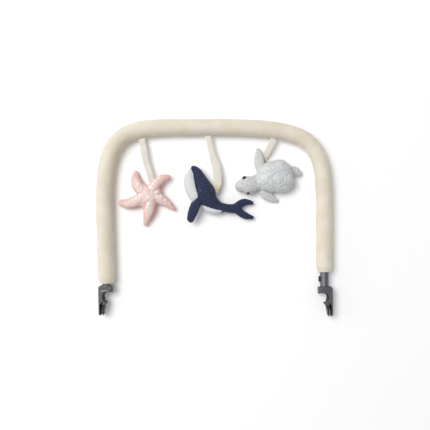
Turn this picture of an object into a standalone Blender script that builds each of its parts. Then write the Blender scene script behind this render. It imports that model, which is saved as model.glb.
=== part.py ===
"""Baby toy bar: a padded arch with two clips and three stuffed sea toys.

The bar lies flat, as it does on a table. X runs from leg to leg, Y runs from
the clips up to the crown, and Z is up, with the table at zero. All lengths are
in metres. A value whose name ends in share or shares is a part of the size
that it is used with.
"""

import math

import bmesh
import bpy
import numpy as np
from mathutils import Matrix, Vector

# Clearances
GAP = 0.0003
STUFFED_GAP = 0.0004
OVERRUN = 0.004
WELD_SHARE = 0.01

# The arch, measured on its centreline
LEFT_BEND_RUN = 0.1402
CROWN_RUN = 0.0634
RIGHT_BEND_RUN = 0.2151
BAR_RISE = 0.1833
LEFT_LEG = 0.1178
RIGHT_LEG = 0.1197
LEFT_LEG_LEAN = math.radians(1.7)
LEFT_SPRING_SHARE = 0.896
LEFT_CROWN_SHARE = 0.888
RIGHT_CROWN_SHARE = 0.996
RIGHT_SPRING_SHARE = 0.871
BEND_STEPS = 11

# The steel tube, its foam and its fabric cover
TUBE_DIAMETER = 0.0165
TUBE_WALL = 0.0015
FOAM_DIAMETER = 0.0290
COVER_DIAMETER = 0.0320
COVER_WALL = 0.0012
LEFT_COVER_END = 0.0038
RIGHT_COVER_END = 0.0276
LEFT_FOAM_END = 0.0220
RIGHT_FOAM_END = 0.0410
HEM_DIAMETER = 0.0260
HEM_TAPER = 0.0120
HEM_BAND_LENGTH = 0.0031
COVER_LENGTH_LAP = 0.0020
TUBE_ROUNDNESS = 6

# The clip: across is towards the inside of the arch, down is away from the tube
CLIP_LENGTH = 0.0565
CLIP_THICKNESS = 0.0180
CLIP_EDGE = 0.0018
JAW_REACH = 0.0142
SPINE_REACH = 0.0132
SPINE_THICKNESS = 0.0045
SPINE_TOE = 0.0018
SHOULDER_RADIUS = 0.0045
NOTCH_DIAMETER = 0.0187
NOTCH_ACROSS = 0.0054
NOTCH_DOWN = 0.0221
JAW_TIP_DOWN = 0.0141
JAW_TIP_WIDTH = 0.0030
SPIGOT_LENGTH = 0.0340
SPIGOT_ROOT = 0.0040
SPIGOT_CHAMFER = 0.0012

# The release lever and its pin
PIN_ACROSS = -0.0036
PIN_DOWN = 0.0334
PIN_DIAMETER = 0.0030
KNUCKLE_RADIUS = 0.0040
KNUCKLE_CLEARANCE = 0.0005
LEVER_THICKNESS = 0.0160
LEVER_EDGE = 0.0009
LUG_THICKNESS = 0.0038
LUG_ARM_WIDTH = 0.0068
LUG_ROUND = math.radians(108)
LEVER_WIDTH = 0.0031
LEVER_TOE_GAP = 0.0026
LIP_DEPTH = 0.0030
LEVER_LIP_SHARES = ((0.0, 0.25), (0.5, 1.0))
LEVER_FRONT_SHARES = ((1.8, 0.25), (1.3, 0.50), (1.0, 0.85), (0.5, 1.0))
LEVER_BACK_SHARES = ((0.0, 1.0), (0.0, 0.85), (0.33, 0.50), (0.33, 0.24))
LIP_START = math.radians(228)
LIP_END = math.radians(266)
JAW_END = math.radians(222)
KNUCKLE_START = math.radians(245)
KNUCKLE_END = math.radians(75)
SPRING_SLOT = 0.0040
SPRING_SLOT_RADIUS = 0.0032
LEVER_WIRE = 0.0005
LEVER_COIL_RADIUS = 0.00235
LEVER_COIL_HEIGHT = 0.0028
LEVER_COIL_TURNS = 2.5

# The oblong snap button and its spring
BUTTON_UP = 0.0135
BUTTON_LENGTH = 0.0115
BUTTON_WIDTH = 0.0070
BUTTON_PROUD = 0.0027
BUTTON_EDGE = 0.0007
FLANGE_EDGE = 0.0010
FLANGE_THICKNESS = 0.0015
FLANGE_SINK = 0.0040
POCKET_FLOOR = 0.0047
BUTTON_WIRE = 0.0006
BUTTON_COIL_RADIUS = 0.0024
BUTTON_COIL_TURNS = 4.5

# The straps: a strap's route is across and down from its seam on the cover
STRAP_WIDTH = 0.0120
STRAP_THICKNESS = 0.0020
SEAM_GAP = 0.0008
SEAM_STANDOFF = 0.0026
TAB_LENGTH = 0.0090
STAR_SEAM_X = -0.1393
WHALE_SEAM_X = -0.0115
TURTLE_SEAM_X = 0.1134
STAR_STRAP_DROP = 0.0800
WHALE_STRAP_DROP = 0.1060
TURTLE_STRAP_DROP = 0.0480
STAR_STRAP_SHARES = ((0.0, 0.0), (0.055, 0.25), (0.12, 0.55), (0.20, 0.85), (0.24, 1.0))
WHALE_STRAP_SHARES = ((0.0, 0.0), (0.055, 0.27), (0.145, 0.56), (0.160, 0.82), (0.110, 1.0))
TURTLE_STRAP_SHARES = ((0.0, 0.0), (-0.14, 0.25), (-0.28, 0.52), (-0.52, 1.0))

# The starfish: its shares are across, up and height, then half its width
STAR_REACH = 0.0630
STAR_THICKNESS = 0.0240
STAR_FROM_STRAP_SHARES = (-0.09, -0.40)
STAR_BODY_SHARES = (
    (-0.12, -0.10, 0.52, 0.25),
    (-0.03, -0.03, 0.52, 0.34),
    (0.06, 0.02, 0.52, 0.33),
    (0.13, 0.06, 0.52, 0.24),
)
STAR_ARM_SHARES = {
    "star_arm_top_left": (
        (-0.12, 0.09, 0.50, 0.18),
        (-0.34, 0.21, 0.50, 0.190),
        (-0.44, 0.47, 0.44, 0.150),
        (-0.42, 0.69, 0.36, 0.065),
    ),
    "star_arm_top_right": (
        (0.09, 0.10, 0.50, 0.18),
        (0.25, 0.31, 0.52, 0.185),
        (0.39, 0.46, 0.52, 0.140),
        (0.53, 0.55, 0.50, 0.055),
    ),
    "star_arm_right": (
        (0.15, -0.06, 0.50, 0.18),
        (0.35, -0.15, 0.50, 0.190),
        (0.56, -0.29, 0.44, 0.130),
        (0.77, -0.45, 0.34, 0.045),
    ),
    "star_arm_bottom": (
        (0.015, -0.15, 0.50, 0.18),
        (0.02, -0.36, 0.50, 0.200),
        (-0.04, -0.62, 0.46, 0.160),
        (-0.15, -0.93, 0.34, 0.055),
    ),
    "star_arm_left": (
        (-0.15, -0.06, 0.50, 0.18),
        (-0.36, -0.20, 0.50, 0.185),
        (-0.64, -0.29, 0.46, 0.15),
        (-0.89, -0.285, 0.38, 0.085),
    ),
}
STAR_FLATNESS_SHARE = 0.85

# The whale
WHALE_LENGTH = 0.1370
WHALE_THICKNESS = 0.0340
WHALE_FROM_STRAP_SHARES = (0.0087, 0.035)
WHALE_BODY_SHARES = (
    (-0.325, 0.325, 0.50, 0.030),
    (-0.262, 0.255, 0.50, 0.058),
    (-0.206, 0.140, 0.50, 0.090),
    (-0.160, 0.030, 0.50, 0.120),
    (-0.120, -0.070, 0.50, 0.128),
    (-0.060, -0.160, 0.50, 0.105),
    (0.020, -0.218, 0.50, 0.078),
)
WHALE_TAIL_SHARES = (
    (-0.030, -0.190, 0.50, 0.080),
    (0.080, -0.238, 0.48, 0.062),
    (0.185, -0.258, 0.42, 0.056),
    (0.270, -0.262, 0.38, 0.060),
    (0.330, -0.256, 0.36, 0.050),
)
WHALE_FLUKE_SHARES = {
    "whale_fluke_upper": (
        (0.280, -0.240, 0.36, 0.045),
        (0.350, -0.205, 0.34, 0.052),
        (0.435, -0.167, 0.32, 0.038),
        (0.520, -0.166, 0.30, 0.018),
    ),
    "whale_fluke_lower": (
        (0.280, -0.270, 0.36, 0.045),
        (0.350, -0.315, 0.34, 0.050),
        (0.430, -0.365, 0.32, 0.042),
        (0.505, -0.385, 0.30, 0.026),
    ),
}
WHALE_FIN_SHARES = {
    "whale_fin_near": (
        (-0.190, -0.120, 0.72, 0.045),
        (-0.265, -0.195, 0.80, 0.058),
        (-0.320, -0.310, 0.76, 0.056),
        (-0.365, -0.425, 0.66, 0.033),
    ),
    "whale_fin_far": (
        (-0.205, -0.115, 0.28, 0.045),
        (-0.282, -0.190, 0.20, 0.056),
        (-0.335, -0.305, 0.20, 0.052),
        (-0.375, -0.405, 0.20, 0.030),
    ),
}
WHALE_BELLY_SHARES = (
    (-0.345, 0.292, 0.50, 0.020),
    (-0.352, 0.215, 0.50, 0.068),
    (-0.352, 0.125, 0.50, 0.100),
    (-0.322, 0.015, 0.50, 0.105),
    (-0.270, -0.080, 0.50, 0.085),
)
WHALE_REAR_BELLY_SHARES = (
    (-0.170, -0.215, 0.50, 0.040),
    (-0.080, -0.270, 0.48, 0.060),
    (0.030, -0.292, 0.46, 0.055),
    (0.120, -0.290, 0.44, 0.030),
)
WHALE_FLATNESS_SHARE = 0.92
FIN_FLATNESS_SHARE = 0.52
FLUKE_FLATNESS_SHARE = 0.66

# The turtle
TURTLE_SHELL_LENGTH = 0.0763
TURTLE_THICKNESS = 0.0420
TURTLE_FROM_STRAP_SHARES = (0.285, -0.34)
TURTLE_SHELL_SHARES = (
    (-0.400, -0.055, 0.44, 0.200),
    (-0.240, -0.040, 0.50, 0.340),
    (-0.040, -0.010, 0.54, 0.405),
    (0.160, 0.000, 0.54, 0.405),
    (0.330, 0.010, 0.48, 0.300),
    (0.400, 0.020, 0.44, 0.220),
)
TURTLE_BODY_SHARES = (
    (-0.330, -0.060, 0.25, 0.230),
    (-0.140, -0.030, 0.25, 0.330),
    (0.120, 0.000, 0.25, 0.340),
    (0.330, 0.030, 0.25, 0.230),
)
TURTLE_HEAD_SHARES = (
    (-0.400, -0.125, 0.36, 0.170),
    (-0.550, -0.155, 0.38, 0.205),
    (-0.690, -0.190, 0.39, 0.225),
    (-0.830, -0.230, 0.36, 0.175),
)
TURTLE_EYE_SHARES = {
    "turtle_eye_left": (-0.690, -0.005, 0.085),
    "turtle_eye_right": (-0.610, -0.350, 0.085),
}
TURTLE_HEAD_HEIGHT_SHARE = 0.385
TURTLE_EYE_RADIUS = 0.0036
TURTLE_FLIPPER_SHARES = {
    "turtle_flipper_front_left": (
        (-0.300, 0.220, 0.26, 0.100),
        (-0.350, 0.360, 0.24, 0.115),
        (-0.365, 0.530, 0.22, 0.100),
        (-0.360, 0.680, 0.20, 0.055),
    ),
    "turtle_flipper_front_right": (
        (-0.260, -0.280, 0.26, 0.100),
        (-0.180, -0.420, 0.24, 0.125),
        (-0.040, -0.525, 0.20, 0.090),
        (0.075, -0.590, 0.16, 0.048),
    ),
    "turtle_flipper_hind_left": (
        (0.330, 0.140, 0.28, 0.090),
        (0.480, 0.200, 0.28, 0.110),
        (0.590, 0.170, 0.26, 0.085),
        (0.660, 0.110, 0.24, 0.050),
    ),
    "turtle_flipper_hind_right": (
        (0.250, -0.160, 0.22, 0.090),
        (0.310, -0.240, 0.20, 0.090),
        (0.340, -0.300, 0.18, 0.065),
        (0.345, -0.340, 0.16, 0.040),
    ),
}
SHELL_FLATNESS_SHARE = 0.64
BODY_FLATNESS_SHARE = 0.39
HEAD_FLATNESS_SHARE = 0.86
FLIPPER_FLATNESS_SHARE = 0.60
SHELL_RIM_SHARE = 0.40

# Counts
STUFFED_RINGS = 7
NOSE_RINGS = 3
STUFFED_ROUNDNESS = 4
LIMB_ROUNDNESS = 3
COIL_POINTS = 8
STRAP_POINTS = 12
SHARP_ANGLE = math.radians(40)

# What follows from the sizes above
TUBE_BORE_RADIUS = TUBE_DIAMETER / 2 - TUBE_WALL
SPIGOT_RADIUS = TUBE_BORE_RADIUS - GAP
COVER_RADIUS = COVER_DIAMETER / 2
BAR_HEIGHT = COVER_RADIUS
BAR_SPREAD = LEFT_BEND_RUN + CROWN_RUN + RIGHT_BEND_RUN
SPRING_Y = (RIGHT_LEG + GAP + CLIP_LENGTH - BAR_RISE - COVER_RADIUS) / 2

COLOURS = {
    "cover_fabric": ((0.72, 0.66, 0.52), 0.85, 0.0),
    "foam": ((0.80, 0.78, 0.70), 0.90, 0.0),
    "elastic": ((0.70, 0.64, 0.50), 0.80, 0.0),
    "dark_steel": ((0.05, 0.05, 0.055), 0.35, 0.6),
    "spring_steel": ((0.60, 0.60, 0.62), 0.30, 1.0),
    "pin_steel": ((0.45, 0.45, 0.47), 0.35, 1.0),
    "clip_plastic": ((0.12, 0.12, 0.13), 0.45, 0.0),
    "lever_plastic": ((0.05, 0.05, 0.055), 0.45, 0.0),
    "button_plastic": ((0.02, 0.02, 0.022), 0.40, 0.0),
    "strap_ribbon": ((0.78, 0.72, 0.58), 0.80, 0.0),
    "star_plush": ((0.85, 0.58, 0.52), 0.90, 0.0),
    "whale_navy": ((0.04, 0.06, 0.12), 0.90, 0.0),
    "whale_white": ((0.76, 0.76, 0.80), 0.90, 0.0),
    "turtle_shell_fabric": ((0.62, 0.66, 0.66), 0.90, 0.0),
    "turtle_grey": ((0.58, 0.59, 0.59), 0.90, 0.0),
    "eye_thread": ((0.02, 0.02, 0.02), 0.50, 0.0),
}


def clear_scene():
    """Remove what the scene holds, so that the part stands alone."""
    for old in list(bpy.data.objects):
        bpy.data.objects.remove(old, do_unlink=True)


def new_collection(name):
    """A collection linked to the scene."""
    made = bpy.data.collections.new(name)
    bpy.context.scene.collection.children.link(made)
    return made


def material_for(name, finish):
    """A material of its own for one object, with the finish's colour."""
    colour, roughness, metallic = COLOURS[finish]
    made = bpy.data.materials.new(name)
    made.use_nodes = True
    shader = made.node_tree.nodes["Principled BSDF"]
    shader.inputs["Base Color"].default_value = (*colour, 1.0)
    shader.inputs["Roughness"].default_value = roughness
    shader.inputs["Metallic"].default_value = metallic
    return made


def add_part(name, mesh, finish, parent=None, location=(0, 0, 0)):
    """Add a named piece with its own material to the part."""
    made = bpy.data.objects.new(name, mesh)
    mesh.materials.clear()
    mesh.materials.append(material_for(name, finish))
    mesh.shade_smooth()
    mesh.set_sharp_from_angle(angle=SHARP_ANGLE)
    PARTS.objects.link(made)
    made.parent = parent
    made.location = location
    return made


def add_cutter(name, mesh, parent=None, location=(0, 0, 0)):
    """Add a helper that cuts or joins a piece and isn't part of it."""
    made = bpy.data.objects.new(name, mesh)
    CUTTERS.objects.link(made)
    made.parent = parent
    made.location = location
    made.hide_render = True
    made.display_type = "WIRE"
    return made


def combine(piece, other, operation, solver="EXACT"):
    """Cut a piece with another object, or join the other to it."""
    step = piece.modifiers.new(f"{operation.lower()}_{other.name}", "BOOLEAN")
    step.operation = operation
    step.solver = solver
    step.object = other


def bevel(piece, width, segments=2):
    """Round the sharp edges of a piece."""
    step = piece.modifiers.new("rounded_edges", "BEVEL")
    step.width = width
    step.segments = segments
    step.limit_method = "ANGLE"
    step.angle_limit = SHARP_ANGLE


def mesh_of_curve(curve):
    """Turn a curve into a mesh whose caps are welded on."""
    guide = bpy.data.objects.new("guide", curve)
    bpy.context.scene.collection.objects.link(guide)
    graph = bpy.context.evaluated_depsgraph_get()
    mesh = bpy.data.meshes.new_from_object(guide.evaluated_get(graph))
    bpy.data.objects.remove(guide, do_unlink=True)
    bpy.data.curves.remove(curve)
    work = bmesh.new()
    work.from_mesh(mesh)
    bmesh.ops.remove_doubles(work, verts=work.verts, dist=WELD_SHARE * GAP)
    if all(edge.is_manifold for edge in work.edges):
        bmesh.ops.recalc_face_normals(work, faces=work.faces)
    work.to_mesh(mesh)
    work.free()
    return mesh


def tube_mesh(points, radii, roundness, capped=True):
    """A round tube along points, with a radius at each point."""
    widest = max(radii)
    curve = bpy.data.curves.new("tube", "CURVE")
    curve.dimensions = "3D"
    curve.twist_mode = "Z_UP"
    curve.bevel_depth = widest
    curve.bevel_resolution = roundness
    curve.use_fill_caps = capped
    spline = curve.splines.new("POLY")
    spline.points.add(len(points) - 1)
    for place, point, radius in zip(spline.points, points, radii):
        place.co = (*point, 1.0)
        place.radius = radius / widest
    return mesh_of_curve(curve)


def plate_mesh(outline, thickness):
    """A flat outline in XY, as thick as given and centred on Z."""
    curve = bpy.data.curves.new("plate", "CURVE")
    curve.dimensions = "2D"
    curve.fill_mode = "BOTH"
    curve.extrude = thickness / 2
    spline = curve.splines.new("POLY")
    spline.points.add(len(outline) - 1)
    spline.use_cyclic_u = True
    for place, (x, y) in zip(spline.points, outline):
        place.co = (x, y, 0.0, 1.0)
    return mesh_of_curve(curve)


def cylinder_mesh(radius, length, sides, axis="Z"):
    """A closed cylinder centred on its origin, along the given axis."""
    turn = {
        "X": Matrix.Rotation(math.pi / 2, 4, "Y"),
        "Y": Matrix.Rotation(math.pi / 2, 4, "X"),
        "Z": Matrix.Identity(4),
    }
    work = bmesh.new()
    bmesh.ops.create_cone(
        work,
        cap_ends=True,
        segments=sides,
        radius1=radius,
        radius2=radius,
        depth=length,
        matrix=turn[axis],
    )
    mesh = bpy.data.meshes.new("cylinder")
    work.to_mesh(mesh)
    work.free()
    return mesh


def box_mesh(size):
    """A closed box centred on its origin."""
    work = bmesh.new()
    bmesh.ops.create_cube(work, size=1, matrix=Matrix.Diagonal((*size, 1)))
    mesh = bpy.data.meshes.new("box")
    work.to_mesh(mesh)
    work.free()
    return mesh


def arc(centre, radius, start, end, steps):
    """Points along a round stretch of an outline."""
    angles = np.linspace(start, end, steps)
    return [(centre[0] + radius * math.cos(a), centre[1] + radius * math.sin(a)) for a in angles]


def smooth(route, count):
    """Points of a smooth curve through the rows of a route, ends included."""
    rows = np.array(route, float)
    before = 2 * rows[0] - rows[1]
    after = 2 * rows[-1] - rows[-2]
    rows = np.vstack([before, rows, after])
    spans = len(rows) - 3
    found = []
    for t in np.linspace(0, spans, count):
        i = min(int(t), spans - 1)
        f = t - i
        a, b, c, d = rows[i : i + 4]
        found.append(
            0.5 * (2 * b + (c - a) * f + (2 * a - 5 * b + 4 * c - d) * f**2 + (3 * b - a - 3 * c + d) * f**3)
        )
    return np.array(found)


# The arch


def bezier(start, start_handle, end_handle, end, t):
    """A point of a cubic Bezier curve."""
    s = 1 - t
    return s**3 * start + 3 * s**2 * t * start_handle + 3 * s * t**2 * end_handle + t**3 * end


def left_spring():
    """Where the left leg's straight tube meets its bend."""
    return Vector((-BAR_SPREAD / 2, SPRING_Y, BAR_HEIGHT))


def right_spring():
    """Where the right leg's straight tube meets its bend."""
    return Vector((BAR_SPREAD / 2, SPRING_Y, BAR_HEIGHT))


def left_leg_up():
    """The direction up the left leg, which leans outwards towards its bend."""
    return Vector((-math.sin(LEFT_LEG_LEAN), math.cos(LEFT_LEG_LEAN), 0))


def bends(steps):
    """The curved middle of the arch's centreline, from spring to spring."""
    left = left_spring()
    right = right_spring()
    crown_left = left + Vector((LEFT_BEND_RUN, BAR_RISE, 0))
    crown_right = right + Vector((-RIGHT_BEND_RUN, BAR_RISE, 0))
    left_rise = left + left_leg_up() * LEFT_SPRING_SHARE * BAR_RISE
    left_run = crown_left - Vector((LEFT_CROWN_SHARE * LEFT_BEND_RUN, 0, 0))
    right_run = crown_right + Vector((RIGHT_CROWN_SHARE * RIGHT_BEND_RUN, 0, 0))
    right_rise = right + Vector((0, RIGHT_SPRING_SHARE * BAR_RISE, 0))
    shares = np.linspace(0, 1, steps).tolist()
    first = [bezier(left, left_rise, left_run, crown_left, t) for t in shares]
    second = [bezier(crown_right, right_run, right_rise, right, t) for t in shares]
    return first + second


def left_end(above):
    """The left leg's centreline, this far above the tube's end."""
    return left_spring() - left_leg_up() * (LEFT_LEG - above)


def right_end(above):
    """The right leg's centreline, this far above the tube's end."""
    return right_spring() - Vector((0, RIGHT_LEG - above, 0))


def centreline(left_above, right_above):
    """The arch's centreline between two heights above the tube's ends."""
    return [left_end(left_above), *bends(BEND_STEPS), right_end(right_above)]


def seat_on_cover(x):
    """The place, tangent and inward direction of the cover's inner side at X."""
    middle = bends(BEND_STEPS)
    found = None
    for a, b in zip(middle, middle[1:]):
        along = (b - a).normalized()
        inward = Vector((along.y, -along.x, 0))
        share = (x - inward.x * COVER_RADIUS - a.x) / (b.x - a.x) if b.x > a.x else 0
        place = a.lerp(b, min(max(share, 0), 1)) + inward * COVER_RADIUS
        if found is None or abs(place.x - x) < abs(found[0].x - x):
            found = (place, along, inward)
    return found


def hollow(name, points, radii, roundness, wall, finish):
    """A bent tube with an open bore."""
    mesh = tube_mesh(points, radii, roundness, capped=False)
    made = add_part(name, mesh, finish)
    step = made.modifiers.new("wall", "SOLIDIFY")
    step.thickness = wall
    step.offset = -1
    return made


def arch_tube():
    """The bent steel tube that carries everything."""
    points = centreline(0, 0)
    radii = [TUBE_DIAMETER / 2] * len(points)
    return hollow("arch_tube", points, radii, TUBE_ROUNDNESS, TUBE_WALL, "dark_steel")


def foam_sleeve():
    """The foam pipe round the tube."""
    points = centreline(LEFT_FOAM_END, RIGHT_FOAM_END)
    radii = [FOAM_DIAMETER / 2] * len(points)
    wall = (FOAM_DIAMETER - TUBE_DIAMETER) / 2 - GAP
    return hollow("foam_sleeve", points, radii, TUBE_ROUNDNESS, wall, "foam")


def cover_length(name, points, tapered=()):
    """One length of the cover's sleeve, drawn in by a hem at the tapered points."""
    radii = [HEM_DIAMETER / 2 if i in tapered else COVER_RADIUS for i in range(len(points))]
    hollow(name, points, radii, TUBE_ROUNDNESS, COVER_WALL, "cover_fabric")


def fabric_cover():
    """The fabric sleeve over the foam: two legs, two bends and the crown.

    A bend laps a little over the straight tube at both its ends, so that the
    lengths meet square to the bar.
    """
    middle = bends(BEND_STEPS)
    left_bend = middle[:BEND_STEPS]
    right_bend = middle[BEND_STEPS:]
    lap = Vector((COVER_LENGTH_LAP, 0, 0))
    seam = Vector((GAP, 0, 0))
    left_top = LEFT_LEG - COVER_LENGTH_LAP
    right_top = RIGHT_LEG - COVER_LENGTH_LAP
    left_hem = [left_end(LEFT_COVER_END), left_end(LEFT_COVER_END + HEM_TAPER)]
    right_hem = [right_end(RIGHT_COVER_END), right_end(RIGHT_COVER_END + HEM_TAPER)]
    crown = [left_bend[-1] + lap, right_bend[0] - lap]
    cover_length("cover_left_leg", [*left_hem, left_end(left_top - GAP)], (0,))
    cover_length("cover_left_bend", [left_end(left_top), *left_bend, crown[0]])
    cover_length("cover_crown", [crown[0] + seam, crown[1] - seam])
    cover_length("cover_right_bend", [crown[1], *right_bend, right_end(right_top)])
    cover_length("cover_right_leg", [*right_hem, right_end(right_top - GAP)], (0,))


def hem_band(name, end, above):
    """The gathered elastic hem inside one end of the cover."""
    points = [end(above + GAP), end(above + GAP + HEM_BAND_LENGTH)]
    radius = HEM_DIAMETER / 2 - COVER_WALL - GAP
    wall = radius - TUBE_DIAMETER / 2 - GAP
    return hollow(name, points, [radius] * 2, TUBE_ROUNDNESS, wall, "elastic")


# The clips


def end_frame(name, place, lean, facing):
    """An empty on a tube's end: its X points to the inside of the arch."""
    frame = bpy.data.objects.new(name, None)
    PARTS.objects.link(frame)
    frame.matrix_world = Matrix.Translation(place) @ Matrix.Rotation(lean, 4, "Z") @ facing
    return frame


def clip_outline():
    """The clip body's outline: cap, spine and the upper part of the notch."""
    notch = (NOTCH_ACROSS, -NOTCH_DOWN)
    radius = NOTCH_DIAMETER / 2
    pin = (PIN_ACROSS, -PIN_DOWN)
    inner_face = -SPINE_REACH + SPINE_THICKNESS
    jaw_middle = JAW_REACH - JAW_TIP_WIDTH
    jaw_round = arc((jaw_middle, -JAW_TIP_DOWN + JAW_TIP_WIDTH), JAW_TIP_WIDTH, -math.pi / 2, 0, 4)
    cap_round = arc(
        (JAW_REACH - SHOULDER_RADIUS, -SHOULDER_RADIUS - GAP), SHOULDER_RADIUS, 0, math.pi / 2, 5
    )
    shoulder = arc(
        (-SPINE_REACH + SHOULDER_RADIUS, -SHOULDER_RADIUS - GAP),
        SHOULDER_RADIUS,
        math.pi / 2,
        math.pi,
        5,
    )
    toe = [
        (-SPINE_REACH, -CLIP_LENGTH + SPINE_TOE),
        (-SPINE_REACH + SPINE_TOE / 2, -CLIP_LENGTH - GAP),
        (inner_face - SPINE_TOE / 2, -CLIP_LENGTH - GAP),
        (inner_face, -CLIP_LENGTH + SPINE_TOE),
    ]
    knuckle = arc(pin, KNUCKLE_RADIUS + KNUCKLE_CLEARANCE, math.pi, KNUCKLE_END, 6)
    jaw_inside = math.asin((NOTCH_DOWN - JAW_TIP_DOWN) / radius)
    wall = arc(notch, radius, JAW_END, jaw_inside, 14)
    return [*jaw_round, *cap_round, *shoulder, *toe, (inner_face, -PIN_DOWN), *knuckle, *wall]


def clip_lug(name, side, frame):
    """One of the two ears that hold the lever's pin."""
    height = side * (CLIP_THICKNESS - LUG_THICKNESS - GAP) / 2
    arm = -SPINE_REACH + SPINE_THICKNESS / 2
    outline = [
        (arm, -PIN_DOWN + LUG_ARM_WIDTH / 2),
        (arm, -PIN_DOWN - LUG_ARM_WIDTH / 2),
        *arc((PIN_ACROSS, -PIN_DOWN), KNUCKLE_RADIUS, -LUG_ROUND, LUG_ROUND, 10),
    ]
    return add_cutter(name, plate_mesh(outline, LUG_THICKNESS - GAP), frame, (0, 0, height))


def stadium(length, width, steps=5):
    """An oblong outline with round ends, longest along Y."""
    radius = width / 2
    reach = length / 2 - radius
    top = arc((0, reach), radius, 0, math.pi, steps)
    bottom = arc((0, -reach), radius, math.pi, 2 * math.pi, steps)
    return top + bottom


def along_x(outline, low, high):
    """An outline in YZ that runs between two places along X."""
    mesh = plate_mesh(outline, high - low)
    mesh.transform(Matrix.Rotation(math.pi / 2, 4, "Y"))
    mesh.transform(Matrix.Translation(((low + high) / 2, 0, 0)))
    return mesh


def clip_body(side, frame):
    """The moulded clip: its spigot, cap, upper jaw and spine."""
    body = add_part(
        f"clip_body_{side}", plate_mesh(clip_outline(), CLIP_THICKNESS), "clip_plastic", frame
    )
    bevel(body, CLIP_EDGE)
    spigot_middle = (SPIGOT_LENGTH - SPIGOT_ROOT) / 2
    spigot = add_cutter(
        f"spigot_{side}",
        cylinder_mesh(SPIGOT_RADIUS, SPIGOT_LENGTH + SPIGOT_ROOT, 20, "Y"),
        frame,
        (0, spigot_middle, 0),
    )
    bevel(spigot, SPIGOT_CHAMFER, 1)
    combine(body, spigot, "UNION")
    for lug_side, height in (("top", 1), ("bottom", -1)):
        combine(body, clip_lug(f"lug_{lug_side}_{side}", height, frame), "UNION")
    pocket = stadium(
        BUTTON_LENGTH + 2 * (FLANGE_EDGE + GAP), BUTTON_WIDTH + 2 * (FLANGE_EDGE + GAP)
    )
    pocket_mesh = along_x(pocket, -POCKET_FLOOR, SPIGOT_RADIUS + OVERRUN)
    combine(
        body, add_cutter(f"pocket_{side}", pocket_mesh, frame, (0, BUTTON_UP, 0)), "DIFFERENCE"
    )
    bore = cylinder_mesh(PIN_DIAMETER / 2 + GAP, CLIP_THICKNESS + OVERRUN, 12)
    combine(
        body, add_cutter(f"lug_bore_{side}", bore, frame, (PIN_ACROSS, -PIN_DOWN, 0)), "DIFFERENCE"
    )
    return body


def lever_outline():
    """The lever's outline about its pin: lip, knuckle and tail."""
    notch = (NOTCH_ACROSS - PIN_ACROSS, PIN_DOWN - NOTCH_DOWN)
    radius = NOTCH_DIAMETER / 2
    tail = PIN_DOWN - CLIP_LENGTH
    toe_back = -SPINE_REACH + SPINE_THICKNESS + LEVER_TOE_GAP - PIN_ACROSS
    lip = arc(notch, radius, LIP_START, LIP_END, 7)
    tip_x, tip_y = lip[-1]
    nose = [(tip_x - back * LIP_DEPTH, tip_y - down * LIP_DEPTH) for back, down in LEVER_LIP_SHARES]
    front = [(toe_back + wide * LEVER_WIDTH, tail * down) for wide, down in LEVER_FRONT_SHARES]
    back = [(toe_back + wide * LEVER_WIDTH, tail * down) for wide, down in LEVER_BACK_SHARES]
    face = smooth([*nose, *front], 12)
    knuckle = arc((0, 0), KNUCKLE_RADIUS, KNUCKLE_START, KNUCKLE_END, 10)
    return [*lip, *[tuple(row) for row in face], *back, *knuckle]


def release_lever(side, frame):
    """The sprung lever whose lip closes the notch."""
    place = (PIN_ACROSS, -PIN_DOWN, 0)
    lever = add_part(
        f"release_lever_{side}",
        plate_mesh(lever_outline(), LEVER_THICKNESS),
        "lever_plastic",
        frame,
        place,
    )
    bevel(lever, LEVER_EDGE, 1)
    lug_reach = KNUCKLE_RADIUS + KNUCKLE_CLEARANCE
    lug_face = CLIP_THICKNESS / 2 - LUG_THICKNESS - GAP
    for label, sign in (("top", 1), ("bottom", -1)):
        seat = cylinder_mesh(lug_reach, OVERRUN, 20)
        height = sign * (lug_face + OVERRUN / 2)
        cutter = add_cutter(
            f"lug_seat_{label}_{side}", seat, frame, (PIN_ACROSS, -PIN_DOWN, height)
        )
        combine(lever, cutter, "DIFFERENCE")
    bore = cylinder_mesh(PIN_DIAMETER / 2 + GAP, LEVER_THICKNESS + OVERRUN, 12)
    combine(lever, add_cutter(f"lever_bore_{side}", bore, frame, place), "DIFFERENCE")
    chamber = cylinder_mesh(SPRING_SLOT_RADIUS, SPRING_SLOT, 16)
    combine(lever, add_cutter(f"spring_chamber_{side}", chamber, frame, place), "DIFFERENCE")
    mouth = box_mesh((KNUCKLE_RADIUS + OVERRUN, 2 * SPRING_SLOT_RADIUS, SPRING_SLOT))
    mouth_place = (PIN_ACROSS - (KNUCKLE_RADIUS + OVERRUN) / 2, -PIN_DOWN, 0)
    combine(lever, add_cutter(f"spring_mouth_{side}", mouth, frame, mouth_place), "DIFFERENCE")
    return lever


def lever_pin(side, frame):
    """The pin through both lugs and the lever."""
    mesh = cylinder_mesh(PIN_DIAMETER / 2, CLIP_THICKNESS - 2 * GAP, 12)
    return add_part(f"lever_pin_{side}", mesh, "pin_steel", frame, (PIN_ACROSS, -PIN_DOWN, 0))


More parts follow.
